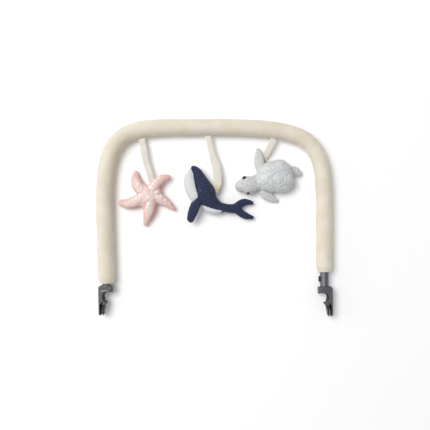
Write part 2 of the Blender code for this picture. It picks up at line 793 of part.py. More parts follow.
def lever_spring(side, frame):
    """A torsion spring round the pin: one leg on the body and one in the lever."""
    seat = KNUCKLE_RADIUS + KNUCKLE_CLEARANCE
    reach = math.sqrt(seat**2 - (LEVER_COIL_RADIUS + LEVER_WIRE / 2) ** 2) - GAP
    turns = np.linspace(0, LEVER_COIL_TURNS, int(LEVER_COIL_TURNS * COIL_POINTS) + 1)
    top = LEVER_COIL_HEIGHT / 2
    points = [(-reach, LEVER_COIL_RADIUS, top)]
    for turn in turns:
        angle = math.pi / 2 - 2 * math.pi * turn
        height = top - LEVER_COIL_HEIGHT * turn / LEVER_COIL_TURNS
        points.append(
            (LEVER_COIL_RADIUS * math.cos(angle), LEVER_COIL_RADIUS * math.sin(angle), height)
        )
    points.append((-KNUCKLE_RADIUS, -LEVER_COIL_RADIUS, -top))
    mesh = tube_mesh(points, [LEVER_WIRE / 2] * len(points), 1)
    return add_part(
        f"lever_spring_{side}", mesh, "spring_steel", frame, (PIN_ACROSS, -PIN_DOWN, 0)
    )


def release_button(side, frame):
    """The oblong button that locks the spigot in the tube."""
    head_top = TUBE_DIAMETER / 2 + BUTTON_PROUD
    flange_low = FLANGE_SINK - FLANGE_THICKNESS
    outline = stadium(BUTTON_LENGTH + 2 * FLANGE_EDGE, BUTTON_WIDTH + 2 * FLANGE_EDGE)
    place = (0, BUTTON_UP, 0)
    flange = add_cutter(
        f"button_flange_{side}", along_x(outline, flange_low, FLANGE_SINK), frame, place
    )
    head_outline = stadium(BUTTON_LENGTH, BUTTON_WIDTH)
    head_low = FLANGE_SINK - FLANGE_THICKNESS / 2
    button = add_part(
        f"release_button_{side}",
        along_x(head_outline, head_low, head_top),
        "button_plastic",
        frame,
        place,
    )
    bevel(button, BUTTON_EDGE, 1)
    combine(button, flange, "UNION")
    return button


def button_hole(tube, side, frame):
    """The oblong hole in the tube's inner wall that the button comes through."""
    outline = stadium(BUTTON_LENGTH + 2 * GAP, BUTTON_WIDTH + 2 * GAP)
    low = TUBE_BORE_RADIUS - TUBE_WALL
    mesh = along_x(outline, low, TUBE_DIAMETER / 2 + OVERRUN)
    combine(
        tube, add_cutter(f"button_hole_{side}", mesh, frame, (0, BUTTON_UP, 0)), "DIFFERENCE"
    )


def button_spring(side, frame):
    """The coil spring between the button and the pocket's floor."""
    low = -POCKET_FLOOR + GAP + BUTTON_WIRE / 2
    high = FLANGE_SINK - FLANGE_THICKNESS - GAP - BUTTON_WIRE / 2
    count = int(BUTTON_COIL_TURNS * COIL_POINTS) + 1
    points = []
    for share in np.linspace(0, 1, count):
        angle = 2 * math.pi * BUTTON_COIL_TURNS * share
        points.append(
            (
                low + (high - low) * share,
                BUTTON_COIL_RADIUS * math.cos(angle),
                BUTTON_COIL_RADIUS * math.sin(angle),
            )
        )
    mesh = tube_mesh(points, [BUTTON_WIRE / 2] * len(points), 1)
    return add_part(f"button_spring_{side}", mesh, "spring_steel", frame, (0, BUTTON_UP, 0))


def clip_end(side, tube, frame):
    """Everything on one end of the tube."""
    clip_body(side, frame)
    release_lever(side, frame)
    lever_pin(side, frame)
    lever_spring(side, frame)
    release_button(side, frame)
    button_spring(side, frame)
    button_hole(tube, side, frame)


# The stuffed toys


def stuffed_rows(shares, origin, size, thickness):
    """A limb's rows of X, Y, Z and half width, from its shares."""
    rows = []
    for across, up, height, half_width in shares:
        rows.append(
            (origin[0] + across * size, origin[1] + up * size, height * thickness, half_width * size)
        )
    return rows


def stuffed_mesh(rows, flatness, roundness, grow=0):
    """A stuffed limb: it swells and tapers along its rows, with round ends.

    The rings are drawn round, with heights stretched by the flatness, and the
    mesh is then flattened to its true height.
    """
    body = smooth(rows, STUFFED_RINGS)
    points = [np.array((*row[:2], row[2] / flatness)) for row in body]
    radii = [max(row[3], GAP) for row in body]
    turns = np.linspace(0, math.pi / 2, NOSE_RINGS + 2)[1:-1]
    for end, beside in ((0, 1), (-1, -2)):
        outward = points[end] - points[beside]
        outward = outward / np.linalg.norm(outward)
        centre = points[end]
        radius = radii[end]
        nose = [(centre + outward * radius * math.sin(a), radius * math.cos(a)) for a in turns]
        if end == 0:
            points = [p for p, _ in reversed(nose)] + points
            radii = [r for _, r in reversed(nose)] + radii
        else:
            points = points + [p for p, _ in nose]
            radii = radii + [r for _, r in nose]
    mesh = tube_mesh(points, [radius + grow for radius in radii], roundness)
    mesh.transform(Matrix.Diagonal((1, 1, flatness, 1)))
    return mesh


class Stuffed:
    """One stuffed piece and the helper that keeps its neighbours clear of it."""

    def __init__(
        self,
        name,
        rows,
        flatness,
        finish,
        cut_by=(),
        roundness=LIMB_ROUNDNESS,
        solver="EXACT",
    ):
        self.name = name
        self.rows = rows
        self.flatness = flatness
        self.roundness = roundness
        self.piece = add_part(name, stuffed_mesh(rows, flatness, roundness), finish)
        self.clearance = None
        for other in cut_by:
            combine(self.piece, other.cutter(), "DIFFERENCE", solver)

    def cutter(self):
        """The same shape, larger by the gap between stuffed pieces."""
        if self.clearance is None:
            mesh = stuffed_mesh(self.rows, self.flatness, self.roundness, STUFFED_GAP)
            self.clearance = add_cutter(f"{self.name}_clearance", mesh)
        return self.clearance


def starfish(anchor):
    """The starfish: a body and five arms."""
    across, up = STAR_FROM_STRAP_SHARES
    centre = (anchor.x + across * STAR_REACH, anchor.y + up * STAR_REACH)
    rows = stuffed_rows(STAR_BODY_SHARES, centre, STAR_REACH, STAR_THICKNESS)
    flatness = STAR_THICKNESS / (2 * max(row[3] for row in rows))
    body = Stuffed("star_body", rows, flatness, "star_plush", roundness=STUFFED_ROUNDNESS)
    made = [body]
    for name, shares in STAR_ARM_SHARES.items():
        rows = stuffed_rows(shares, centre, STAR_REACH, STAR_THICKNESS)
        made.append(Stuffed(name, rows, STAR_FLATNESS_SHARE, "star_plush", list(made)))
    return made


def whale(anchor):
    """The whale: body, tail, flukes, fins and its pale belly."""
    across, up = WHALE_FROM_STRAP_SHARES
    centre = (anchor.x + across * WHALE_LENGTH, anchor.y + up * WHALE_LENGTH)

    def rows_of(shares):
        return stuffed_rows(shares, centre, WHALE_LENGTH, WHALE_THICKNESS)

    body = Stuffed(
        "whale_body",
        rows_of(WHALE_BODY_SHARES),
        WHALE_FLATNESS_SHARE,
        "whale_navy",
        roundness=STUFFED_ROUNDNESS,
    )
    tail = Stuffed(
        "whale_tail", rows_of(WHALE_TAIL_SHARES), WHALE_FLATNESS_SHARE, "whale_navy", [body]
    )
    belly = Stuffed(
        "whale_belly", rows_of(WHALE_BELLY_SHARES), WHALE_FLATNESS_SHARE, "whale_white", [body]
    )
    rear = Stuffed(
        "whale_belly_rear",
        rows_of(WHALE_REAR_BELLY_SHARES),
        WHALE_FLATNESS_SHARE,
        "whale_white",
        [body, tail, belly],
    )
    made = [body, tail, belly, rear]
    for name, shares in WHALE_FLUKE_SHARES.items():
        cutters = [piece for piece in made if piece.name != "whale_belly_rear"][1:]
        made.append(Stuffed(name, rows_of(shares), FLUKE_FLATNESS_SHARE, "whale_navy", cutters))
    for name, shares in WHALE_FIN_SHARES.items():
        rows = rows_of(shares)
        fin = Stuffed(
            name, rows, FIN_FLATNESS_SHARE, "whale_navy", [body, belly], solver="MANIFOLD"
        )
        made.append(fin)
    return made


def turtle_eye(name, shares, centre, head):
    """A round stitched eye that sits on the head."""
    across, up, rise = shares
    place = (
        centre[0] + across * TURTLE_SHELL_LENGTH,
        centre[1] + up * TURTLE_SHELL_LENGTH,
        TURTLE_HEAD_HEIGHT_SHARE * TURTLE_THICKNESS + rise * TURTLE_SHELL_LENGTH,
    )
    work = bmesh.new()
    bmesh.ops.create_uvsphere(work, u_segments=10, v_segments=7, radius=TURTLE_EYE_RADIUS)
    mesh = bpy.data.meshes.new(name)
    work.to_mesh(mesh)
    work.free()
    eye = add_part(name, mesh, "eye_thread", None, place)
    combine(eye, head.cutter(), "DIFFERENCE")


def turtle(anchor):
    """The turtle: a quilted shell over a soft body, a head and four flippers."""
    across, up = TURTLE_FROM_STRAP_SHARES
    size = TURTLE_SHELL_LENGTH
    centre = (anchor.x + across * size, anchor.y + up * size)

    def rows_of(shares):
        return stuffed_rows(shares, centre, size, TURTLE_THICKNESS)

    body = Stuffed(
        "turtle_body",
        rows_of(TURTLE_BODY_SHARES),
        BODY_FLATNESS_SHARE,
        "turtle_grey",
        roundness=STUFFED_ROUNDNESS,
    )
    shell = Stuffed(
        "turtle_shell",
        rows_of(TURTLE_SHELL_SHARES),
        SHELL_FLATNESS_SHARE,
        "turtle_shell_fabric",
        [body],
        STUFFED_ROUNDNESS,
    )
    rim = SHELL_RIM_SHARE * TURTLE_THICKNESS
    below = add_cutter(
        "below_shell_rim",
        box_mesh((2 * size, 2 * size, 2 * rim)),
        None,
        (centre[0], centre[1], 0),
    )
    combine(shell.piece, below, "DIFFERENCE")
    combine(shell.cutter(), below, "DIFFERENCE")
    head = Stuffed(
        "turtle_head",
        rows_of(TURTLE_HEAD_SHARES),
        HEAD_FLATNESS_SHARE,
        "turtle_grey",
        [body, shell],
        STUFFED_ROUNDNESS,
    )
    for name, shares in TURTLE_EYE_SHARES.items():
        turtle_eye(name, shares, centre, head)
    made = [body, shell, head]
    for name, shares in TURTLE_FLIPPER_SHARES.items():
        rows = rows_of(shares)
        made.append(
            Stuffed(name, rows, FLIPPER_FLATNESS_SHARE, "turtle_grey", [body, shell, head])
        )
    return made


# The straps


def strap_route(seam, drop, shares):
    """A strap's smooth centreline, from its hinge line to the toy."""
    rows = [(seam.x + across * drop, seam.y - down * drop) for across, down in shares]
    return [Vector((x, y)) for x, y in smooth(rows, STRAP_POINTS)]


def ribbon_outline(route):
    """Both edges of a ribbon that follows a route."""
    left = []
    right = []
    for i, place in enumerate(route):
        along = (route[min(i + 1, len(route) - 1)] - route[max(i - 1, 0)]).normalized()
        aside = Vector((-along.y, along.x)) * STRAP_WIDTH / 2
        left.append(tuple(place + aside))
        right.append(tuple(place - aside))
    return left + right[::-1]


def strap(toy, seam_x, drop, shares):
    """A strap in two pieces: a tab sewn to the cover and the ribbon to the toy."""
    surface, along, inward = seat_on_cover(seam_x)
    hinge = surface + inward * SEAM_STANDOFF
    route = strap_route(hinge, drop, shares)
    down = (route[1] - route[0]).normalized()
    side = Vector((-down.y, down.x)) * STRAP_WIDTH / 2
    tab_end = route[0] + down * TAB_LENGTH
    root = (surface + inward * SEAM_GAP).xy
    root_side = along.xy * STRAP_WIDTH / 2
    tab_outline = [root - root_side, tab_end - side, tab_end + side, root + root_side]
    flat = plate_mesh([tuple(point - hinge.xy) for point in tab_outline], STRAP_THICKNESS)
    add_part(f"{toy}_strap_tab", flat, "strap_ribbon", None, hinge)
    start = tab_end + down * GAP
    later = [place for place in route if (place - start).dot(down) > TAB_LENGTH / 2]
    ribbon = plate_mesh(
        [tuple(Vector(point) - start) for point in ribbon_outline([start, *later])],
        STRAP_THICKNESS,
    )
    piece = add_part(
        f"{toy}_strap", ribbon, "strap_ribbon", None, (start.x, start.y, BAR_HEIGHT)
    )
    return piece, Vector((*route[-1], BAR_HEIGHT))


def hang_toy(toy, seam_x, drop, shares, make):
    """A toy on its strap, with the strap cut where the toy's pieces start."""
    ribbon, anchor = strap(toy, seam_x, drop, shares)
    for piece in make(anchor):
        combine(ribbon, piece.cutter(), "DIFFERENCE")


def main():
    tube = arch_tube()
    foam_sleeve()
    fabric_cover()
    hem_band("hem_band_left", left_end, LEFT_COVER_END)
    hem_band("hem_band_right", right_end, RIGHT_COVER_END)
    left = end_frame("left_end", left_end(0), LEFT_LEG_LEAN, Matrix.Identity(4))
    right = end_frame("right_end", right_end(0), 0, Matrix.Rotation(math.pi, 4, "Y"))
    clip_end("left", tube, left)
    clip_end("right", tube, right)
    hang_toy("star", STAR_SEAM_X, STAR_STRAP_DROP, STAR_STRAP_SHARES, starfish)
    hang_toy("whale", WHALE_SEAM_X, WHALE_STRAP_DROP, WHALE_STRAP_SHARES, whale)
    hang_toy("turtle", TURTLE_SEAM_X, TURTLE_STRAP_DROP, TURTLE_STRAP_SHARES, turtle)


clear_scene()
PARTS = new_collection("baby_toy_bar")
CUTTERS = new_collection("cutters")
main()
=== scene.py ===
"""A baby toy bar: a padded arch on two frame clips, with a starfish, a whale and a turtle on ribbons.

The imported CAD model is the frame. Each sub-assembly is a class that holds its sizes, builds its meshes with
numpy and dresses them; each finish is a frozen dataclass that makes one procedural material. Rows of stuffed
forms are in millimetres, and every mesh is in metres.
"""

import logging
import math
from dataclasses import dataclass, field
from enum import Enum
from typing import Any

import bpy
import numpy as np
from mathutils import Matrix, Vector
from mathutils.bvhtree import BVHTree


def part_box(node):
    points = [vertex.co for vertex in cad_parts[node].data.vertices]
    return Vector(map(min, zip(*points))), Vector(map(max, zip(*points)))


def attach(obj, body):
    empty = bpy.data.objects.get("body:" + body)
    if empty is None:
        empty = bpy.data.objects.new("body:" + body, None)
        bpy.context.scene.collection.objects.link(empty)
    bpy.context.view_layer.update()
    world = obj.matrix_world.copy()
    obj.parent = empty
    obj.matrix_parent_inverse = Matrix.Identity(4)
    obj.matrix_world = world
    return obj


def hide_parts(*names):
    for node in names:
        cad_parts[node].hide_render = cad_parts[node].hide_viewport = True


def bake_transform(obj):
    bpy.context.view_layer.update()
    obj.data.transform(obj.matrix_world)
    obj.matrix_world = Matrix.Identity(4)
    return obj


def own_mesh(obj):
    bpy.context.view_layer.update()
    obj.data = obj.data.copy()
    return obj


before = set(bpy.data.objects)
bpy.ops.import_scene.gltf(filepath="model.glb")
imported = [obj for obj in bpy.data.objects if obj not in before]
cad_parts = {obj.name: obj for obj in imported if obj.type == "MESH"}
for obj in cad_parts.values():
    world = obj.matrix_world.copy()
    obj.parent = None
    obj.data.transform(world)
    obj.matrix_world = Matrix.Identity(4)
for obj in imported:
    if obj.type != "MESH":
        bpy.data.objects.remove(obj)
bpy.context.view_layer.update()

LOG = logging.getLogger("toy_bar")
MM = 0.001
BAR_HEIGHT = 0.016
# The middle of the tube's two ends in plan, metres, and the left leg's lean, degrees
LEFT_END = (-0.205855, -0.129148)
RIGHT_END = (0.20935, -0.1311)
LEFT_LEAN = 1.7
# Too short to have a direction
TINY = 1e-12
Array = np.ndarray
Piece = bpy.types.Object
Place = tuple[float, float]
Way = tuple[float, float, float]
Colour = tuple[float, float, float, float]
# A stitch's length, the space to the next one and the thread's radius, metres
Stitch = tuple[float, float, float]
Rows = tuple[tuple[float, ...], ...]


# Curves and surfaces as whole arrays


class Ends(Enum):
    """How the two rims of a grid that runs round a path are finished."""

    OPEN = "open"
    POINTED = "pointed"
    JOINED = "joined"


def through(rows: Array, count: int) -> Array:
    """Points on a Catmull-Rom curve: in each span, cubic weights mix the four nearest rows.

    Args:
        rows: the points to pass through, one a row.
        count: how many points to return.

    Returns:
        count rows, evenly spaced by row number.
    """
    rows = np.asarray(rows, float)
    held = np.vstack([2 * rows[0] - rows[1], rows, 2 * rows[-1] - rows[-2]])
    place = np.linspace(0, len(rows) - 1, count)
    span = np.minimum(place.astype(int), len(rows) - 2)
    t = (place - span)[:, None]
    a, b, c, d = (held[span + step] for step in range(4))
    return 0.5 * (2 * b + (c - a) * t + (2 * a - 5 * b + 4 * c - d) * t**2 + (3 * b - a - 3 * c + d) * t**3)


def along(points: Array) -> Array:
    """The distance travelled at each point: the running sum of the steps between points."""
    steps = np.linalg.norm(np.diff(points, axis=0), axis=1)
    return np.concatenate([[0.0], np.cumsum(steps)])


def at_distances(points: Array, distances: Array) -> Array:
    """The points at given distances along a path, between its points in straight lines."""
    travelled = along(points)
    return np.stack([np.interp(distances, travelled, points[:, axis]) for axis in range(points.shape[1])], 1)


def unit(vectors: Array) -> Array:
    """Vectors of length 1 that point the same way."""
    return vectors / np.maximum(np.linalg.norm(vectors, axis=-1, keepdims=True), TINY)


def tangents(points: Array) -> Array:
    """Unit directions along a path, from central differences."""
    return unit(np.gradient(points, axis=0))


def inward(points: Array) -> Array:
    """Unit vectors in the table's plane at right angles to a path, to the right of its travel."""
    heading = tangents(points)
    return unit(np.stack([heading[:, 1], -heading[:, 0], np.zeros(len(points))], 1))


def spokes(across: Array, turn: Array, lift: float = 1.0) -> Array:
    """The spokes of rings round a path: across cos a + up sin a.

    Args:
        across: a unit vector in plan for each ring.
        turn: the angles a of a ring's points.
        lift: the length of up, less than 1 for a flat ring.

    Returns:
        rings by angles by 3.
    """
    beside, above = np.cos(turn)[None, :, None], np.sin(turn)[None, :, None]
    return across[:, None] * beside + np.array([0, 0, lift]) * above


def turns(count: int) -> Array:
    """So many even angles round a circle."""
    return np.linspace(0, 2 * math.pi, count, endpoint=False)


def quads(rows: int, columns: int, joined_rows: bool = False, around: bool = True) -> Array:
    """The faces between neighbouring rows and columns of a grid of points.

    Args:
        rows: how many rows it has.
        columns: how many columns.
        joined_rows: whether the last row joins the first.
        around: whether the last column joins the first.

    Returns:
        four corner numbers a face.
    """
    spans = np.arange(rows if joined_rows else rows - 1), np.arange(columns if around else columns - 1)
    i, j = (x.ravel() for x in np.meshgrid(*spans, indexing="ij"))
    below, beside = (i + 1) % rows * columns, (j + 1) % columns
    return np.stack([i * columns + j, i * columns + beside, below + beside, below + j], 1)


def smoothstep(value: Array, low: float, high: float) -> Array:
    """0 below low, 1 above high, and 3t^2 - 2t^3 between them."""
    t = np.clip((value - low) / (high - low), 0, 1)
    return t * t * (3 - 2 * t)


def bump_at(value: Array, centre: float, width: float) -> Array:
    """A bell of height 1: e to the minus square of the distance from the centre over the width."""
    return np.exp(-(((value - centre) / width) ** 2))


def unevenness(points: Array, pitch: float, seed: int) -> Array:
    """Soft hills from about -1 to 1: the mean of seven sine waves in seeded directions.

    Args:
        points: places, one a row.
        pitch: the waves' length, metres.
        seed: picks the directions and phases.

    Returns:
        one height a place.
    """
    draw = np.random.default_rng(seed)
    headings = draw.normal(size=(7, 3))
    headings /= np.linalg.norm(headings, axis=1, keepdims=True)
    lengths = pitch * draw.uniform(0.7, 1.5, 7)
    phases = draw.uniform(0, 2 * math.pi, 7)
    return np.sin(points @ (headings / lengths[:, None]).T * 2 * math.pi + phases).mean(axis=1) * 1.8


def piece_from(name: str, points: Array, faces: list[list[int]], corners: Array | None = None) -> Piece:
    """A mesh object at the origin, its faces turned outwards by the sign of its volume.

    Args:
        name: the piece's name.
        points: its vertices in metres.
        faces: corner numbers of each face.
        corners: the UV of each face corner in order, or None.

    Returns:
        the object, smooth shaded.
    """
    sample = faces[:: max(1, len(faces) // 4000)]
    fan = np.array([[face[0], face[i], face[i + 1]] for face in sample for i in range(1, len(face) - 1)])
    spread = points[fan] - points.mean(axis=0)
    if np.einsum("ij,ij->i", spread[:, 0], np.cross(spread[:, 1], spread[:, 2])).sum() < 0:
        faces = [face[::-1] for face in faces]
        if corners is not None:
            sizes = np.array([len(face) for face in faces])
            firsts = np.cumsum(sizes) - sizes
            order = np.repeat(firsts + sizes - 1, sizes) - (np.arange(sizes.sum()) - np.repeat(firsts, sizes))
            corners = corners[order]
    mesh = bpy.data.meshes.new(name)
    mesh.from_pydata(points.tolist(), [], faces)
    if corners is not None:
        layer = mesh.uv_layers.new(name="cloth")
        layer.data.foreach_set("uv", corners.astype(np.float32).ravel())
    mesh.update()
    mesh.shade_smooth()
    made = bpy.data.objects.new(name, mesh)
    bpy.context.scene.collection.objects.link(made)
    return made


def grid_piece(name: str, grid: Array, ends: Ends = Ends.POINTED, around: bool = True) -> Piece:
    """A surface through a grid of points, with a UV map in metres along the rows and round the columns.

    Args:
        name: the piece's name.
        grid: rows by columns by 3, in metres.
        ends: how the first and last rows end.
        around: whether the last column joins the first.

    Returns:
        the object.
    """
    rows, columns = grid.shape[:2]
    points = grid.reshape(-1, 3)
    found = quads(rows, columns, ends is Ends.JOINED, around)
    i, j = np.divmod(found[:, 0], columns)
    length = along(grid.mean(axis=1))[-1]
    girth = np.linalg.norm(np.diff(grid[rows // 2], axis=0), axis=1).sum()
    u, v = length / max(rows - 1, 1), girth / max(columns - 1, 1)
    steps = ((0, 0), (0, 1), (1, 1), (1, 0))
    corners = np.stack([np.stack([(i + a) * u, (j + b) * v], 1) for a, b in steps], 1).reshape(-1, 2)
    faces = found.tolist()
    if ends is Ends.POINTED:
        first, last = len(points), len(points) + 1
        points = np.vstack([points, grid[0].mean(axis=0), grid[-1].mean(axis=0)])
        j = np.arange(columns)
        after = (j + 1) % columns
        tail = (rows - 1) * columns
        faces += np.stack([np.full(columns, first), after, j], 1).tolist()
        faces += np.stack([np.full(columns, last), tail + j, tail + after], 1).tolist()
        near = np.stack([np.stack([0 * j, place * v], 1) for place in (j, after, j)], 1).reshape(-1, 2)
        corners = np.vstack([corners, near, near + np.array([length, 0])])
    return piece_from(name, points, faces, corners)


def tube_grid(path: Array, radii: Array, sides: int) -> Array:
    """Rings round a path: centre + radius (across cos a + up sin a), with up along Z.

    Args:
        path: points of the path.
        radii: one radius a point.
        sides: points in a ring.

    Returns:
        path points by sides by 3.
    """
    return path[:, None] + spokes(inward(path), turns(sides)) * np.asarray(radii)[:, None, None]


def read_vectors(found: Any, name: str) -> Array:
    """Reads one vector from each item of a mesh's collection.

    Args:
        found: the collection.
        name: the property to read.

    Returns:
        one vector a row.
    """
    values = np.empty(len(found) * 3, np.float32)
    found.foreach_get(name, values)
    return values.reshape(-1, 3).astype(float)


def points_of(piece: Piece) -> Array:
    """The vertices of a piece as an array."""
    return read_vectors(piece.data.vertices, "co")


def put_points(piece: Piece, points: Array) -> None:
    """Writes vertices back into a piece."""
    piece.data.vertices.foreach_set("co", points.astype(np.float32).ravel())
    piece.data.update()


def normals_of(piece: Piece) -> Array:
    """The vertex normals of a piece as an array."""
    return read_vectors(piece.data.vertex_normals, "vector")


def write_field(piece: Piece, name: str, values: Array) -> None:
    """Keeps one number a vertex, which a finish reads by name."""
    layer = piece.data.attributes.new(name, "FLOAT", "POINT")
    layer.data.foreach_set("value", values.astype(np.float32))


def settle(piece: Piece) -> None:
    """Turns the live modifiers of a piece into its mesh.

    Args:
        piece: the object.
    """
    graph = bpy.context.evaluated_depsgraph_get()
    made = bpy.data.meshes.new_from_object(piece.evaluated_get(graph))
    piece.modifiers.clear()
    piece.data = made
    made.name = piece.name
    made.shade_smooth()


def modify(piece: Piece, kind: str, **settings: Any) -> None:
    """Puts a piece through one modifier.

    Args:
        piece: the object.
        kind: the modifier's type.
        settings: its properties.
    """
    step = piece.modifiers.new(kind.lower(), kind)
    for key, value in settings.items():
        setattr(step, key, value)
    settle(piece)


def relax(piece: Piece, passes: int, share: float = 0.5) -> None:
    """Moves every vertex a share of the way to the mean of its neighbours, pass after pass.

    Args:
        piece: the mesh to smooth.
        passes: how many times.
        share: how far each time.
    """
    points = points_of(piece)
    pairs = np.empty(len(piece.data.edges) * 2, np.int32)
    piece.data.edges.foreach_get("vertices", pairs)
    one, other = pairs.reshape(-1, 2).T
    size = len(points)
    count = np.bincount(one, minlength=size) + np.bincount(other, minlength=size)
    for _ in range(passes):
        sums = [np.bincount(one, x[other], size) + np.bincount(other, x[one], size) for x in points.T]
        points += share * (np.stack(sums, 1) / np.maximum(count, 1)[:, None] - points)
    put_points(piece, points)


def hollowness(piece: Piece, reach: int) -> Array:
    """How deep each vertex sits in a crease: the relaxed mesh less the mesh, along the normal.

    Args:
        piece: the mesh to read.
        reach: how many rings of neighbours count.

    Returns:
        one share a vertex, 0 outside hollows and 1 where it is 0.6 mm deep or more.
    """
    before, facing = points_of(piece), normals_of(piece)
    relax(piece, reach, 0.7)
    moved = points_of(piece) - before
    put_points(piece, before)
    return np.clip(np.einsum("ij,ij->i", moved, facing) / (0.6 * MM), 0, 1)


def arc(centre: Place, radius: float, start: float, stop: float, count: int = 9) -> Array:
    """Points on a circle between two angles in degrees, in plan."""
    swing = np.radians(np.linspace(start, stop, count))
    return np.stack([centre[0] + radius * np.cos(swing), centre[1] + radius * np.sin(swing)], 1)


def softened(outline: Array, step: float, passes: int) -> Array:
    """A closed outline at even steps, its corners rounded by passes of a three-point mean.

    Args:
        outline: its corner points.
        step: the distance between points.
        passes: how many means; more give rounder corners.

    Returns:
        the closed outline, its first point not repeated.
    """
    loop = np.vstack([outline, outline[:1]])
    total = along(loop)[-1]
    even = at_distances(loop, np.linspace(0, total, int(total / step), endpoint=False))
    for _ in range(passes):
        even = (np.roll(even, 1, axis=0) + 2 * even + np.roll(even, -1, axis=0)) / 4
    return even


def plate(name: str, outline: Array, low: float, high: float, edge: float) -> Piece:
    """A moulded plate: the outline stands from low to high, and quarter-round edges draw it in at both faces.

    Args:
        name: the piece's name.
        outline: its even, closed outline in plan, anticlockwise, metres.
        low: the height of its underside.
        high: the height of its top.
        edge: the radius of its edges.

    Returns:
        the object.
    """
    heading = unit(np.roll(outline, -1, axis=0) - np.roll(outline, 1, axis=0))
    outwards = np.stack([heading[:, 1], -heading[:, 0]], 1)
    swing = np.linspace(0, math.pi / 2, 5)
    rim = [1.15 * edge]
    inset = np.concatenate([rim, edge * (1 - np.sin(swing)), edge * (1 - np.cos(swing)), rim])
    lower, upper = low + edge * (1 - np.cos(swing)), high - edge * (1 - np.sin(swing))
    height = np.concatenate([[low], lower, upper, [high]])
    flat = outline[None] - outwards[None] * inset[:, None, None]
    grid = standing(flat, height)
    rows, columns = grid.shape[:2]
    ring = np.arange(columns)
    caps = [ring[::-1].tolist(), ((rows - 1) * columns + ring).tolist()]
    return piece_from(name, grid.reshape(-1, 3), quads(rows, columns).tolist() + caps)


def standing(flat: Array, height: Array) -> Array:
    """Rows of plan places, each row at its own height."""
    return np.concatenate([flat, np.broadcast_to(height[:, None, None], (*flat.shape[:2], 1))], 2)


def joined(name: str, pieces: list[Piece]) -> Piece:
    """Makes several pieces one.

    Args:
        name: its name.
        pieces: the objects, of which the first stays.

    Returns:
        the one object.
    """
    with bpy.context.temp_override(active_object=pieces[0], selected_editable_objects=pieces):
        bpy.ops.object.join()
    pieces[0].name = pieces[0].data.name = name
    return pieces[0]


def drilled(piece: Piece, cutter: Piece) -> Piece:
    """The piece less the cutter, with sharp edges where they meet.

    Args:
        piece: the object to cut.
        cutter: what is taken away; it is removed.

    Returns:
        the piece.
    """
    modify(piece, "BOOLEAN", operation="DIFFERENCE", object=cutter, solver="EXACT")
    piece.data.set_sharp_from_angle(angle=math.radians(40))
    bpy.data.objects.remove(cutter)
    return piece


# Stuffed forms


@dataclass(frozen=True)
class Limb:
    """One stuffed form: rows of x, y from the toy's centre, z and half the width, all in millimetres."""

    rows: Rows
    flatness: float

    def spine(self, centre: Place, count: int) -> Array:
        """The smoothed rows in metres in the shared frame.

        Args:
            centre: the toy's centre, metres.
            count: how many rows.

        Returns:
            x, y, z and half width a row.
        """
        return through(np.array(self.rows, float), count) * MM + np.array([*centre, 0.0, 0.0])

    def grid(self, centre: Place, rings: int = 40, sides: int = 32, nose: int = 7) -> Array:
        """Ellipses along the spine, closed by half-round noses of the end rows' radius.

        Args:
            centre: the toy's centre, metres.
            rings: ellipses along the spine.
            sides: points in an ellipse.
            nose: steps of each nose.

        Returns:
            the grid of points.
        """
        spine = self.spine(centre, rings)
        middle, half = spine[:, :3], spine[:, 3]
        heading = tangents(middle)
        swing = np.linspace(0, math.pi / 2, nose + 1)[1:-1]
        head = middle[0] - heading[0] * half[0] * np.sin(swing)[::-1, None]
        foot = middle[-1] + heading[-1] * half[-1] * np.sin(swing)[:, None]
        centres = np.vstack([head, middle, foot])
        radii = np.concatenate([half[0] * np.cos(swing)[::-1], half, half[-1] * np.cos(swing)])
        steady = heading[np.clip(np.arange(len(centres)) - len(head), 0, rings - 1)]
        across = unit(np.stack([steady[:, 1], -steady[:, 0], np.zeros(len(centres))], 1))
        return centres[:, None] + spokes(across, turns(sides), self.flatness) * radii[:, None, None]


def plan_distance(points: Array, spine: Array) -> tuple[Array, Array]:
    """How far places are in plan from a limb's edge, below 0 inside, and the nearest spine row's number.

    Args:
        points: places, one a row.
        spine: rows of x, y, z and half width.

    Returns:
        the distances and the row numbers.
    """
    gap = np.linalg.norm(points[:, None, :2] - spine[None, :, :2], axis=2) - spine[None, :, 3]
    nearest = gap.argmin(axis=1)
    return gap[np.arange(len(points)), nearest], nearest


def nearest_level(points: Array, limbs: list[Limb], centre: Place, count: int = 24) -> Array:
    """The height of the nearest limb's middle line at each place, where a skin has its side seam.

    Args:
        points: places, one a row.
        limbs: the stuffed forms.
        centre: the toy's centre, metres.
        count: rows in a spine.

    Returns:
        one height a place.
    """
    spines = [limb.spine(centre, count) for limb in limbs]
    gaps, rows = zip(*[plan_distance(points, spine) for spine in spines])
    levels = np.array([spine[row, 2] for spine, row in zip(spines, rows)])
    return levels[np.array(gaps).argmin(axis=0), np.arange(len(points))]


def filled_skin(name: str, grids: list[Array], voxel: float, passes: int, most: float) -> Piece:
    """One closed skin round several forms: joined, remeshed as one volume, relaxed, filled and refined.

    Args:
        name: the piece's name.
        grids: the forms' grids.
        voxel: the remesh step, metres.
        passes: relaxing passes.
        most: how far the filling may move a point, metres.

    Returns:
        the object.
    """
    skin = joined(name, [grid_piece(f"{name}_form", grid) for grid in grids])
    modify(skin, "REMESH", mode="VOXEL", voxel_size=voxel, use_smooth_shade=True)
    relax(skin, passes)
    stuff(skin, most)
    modify(skin, "SUBSURF", levels=1, render_levels=1)
    return skin


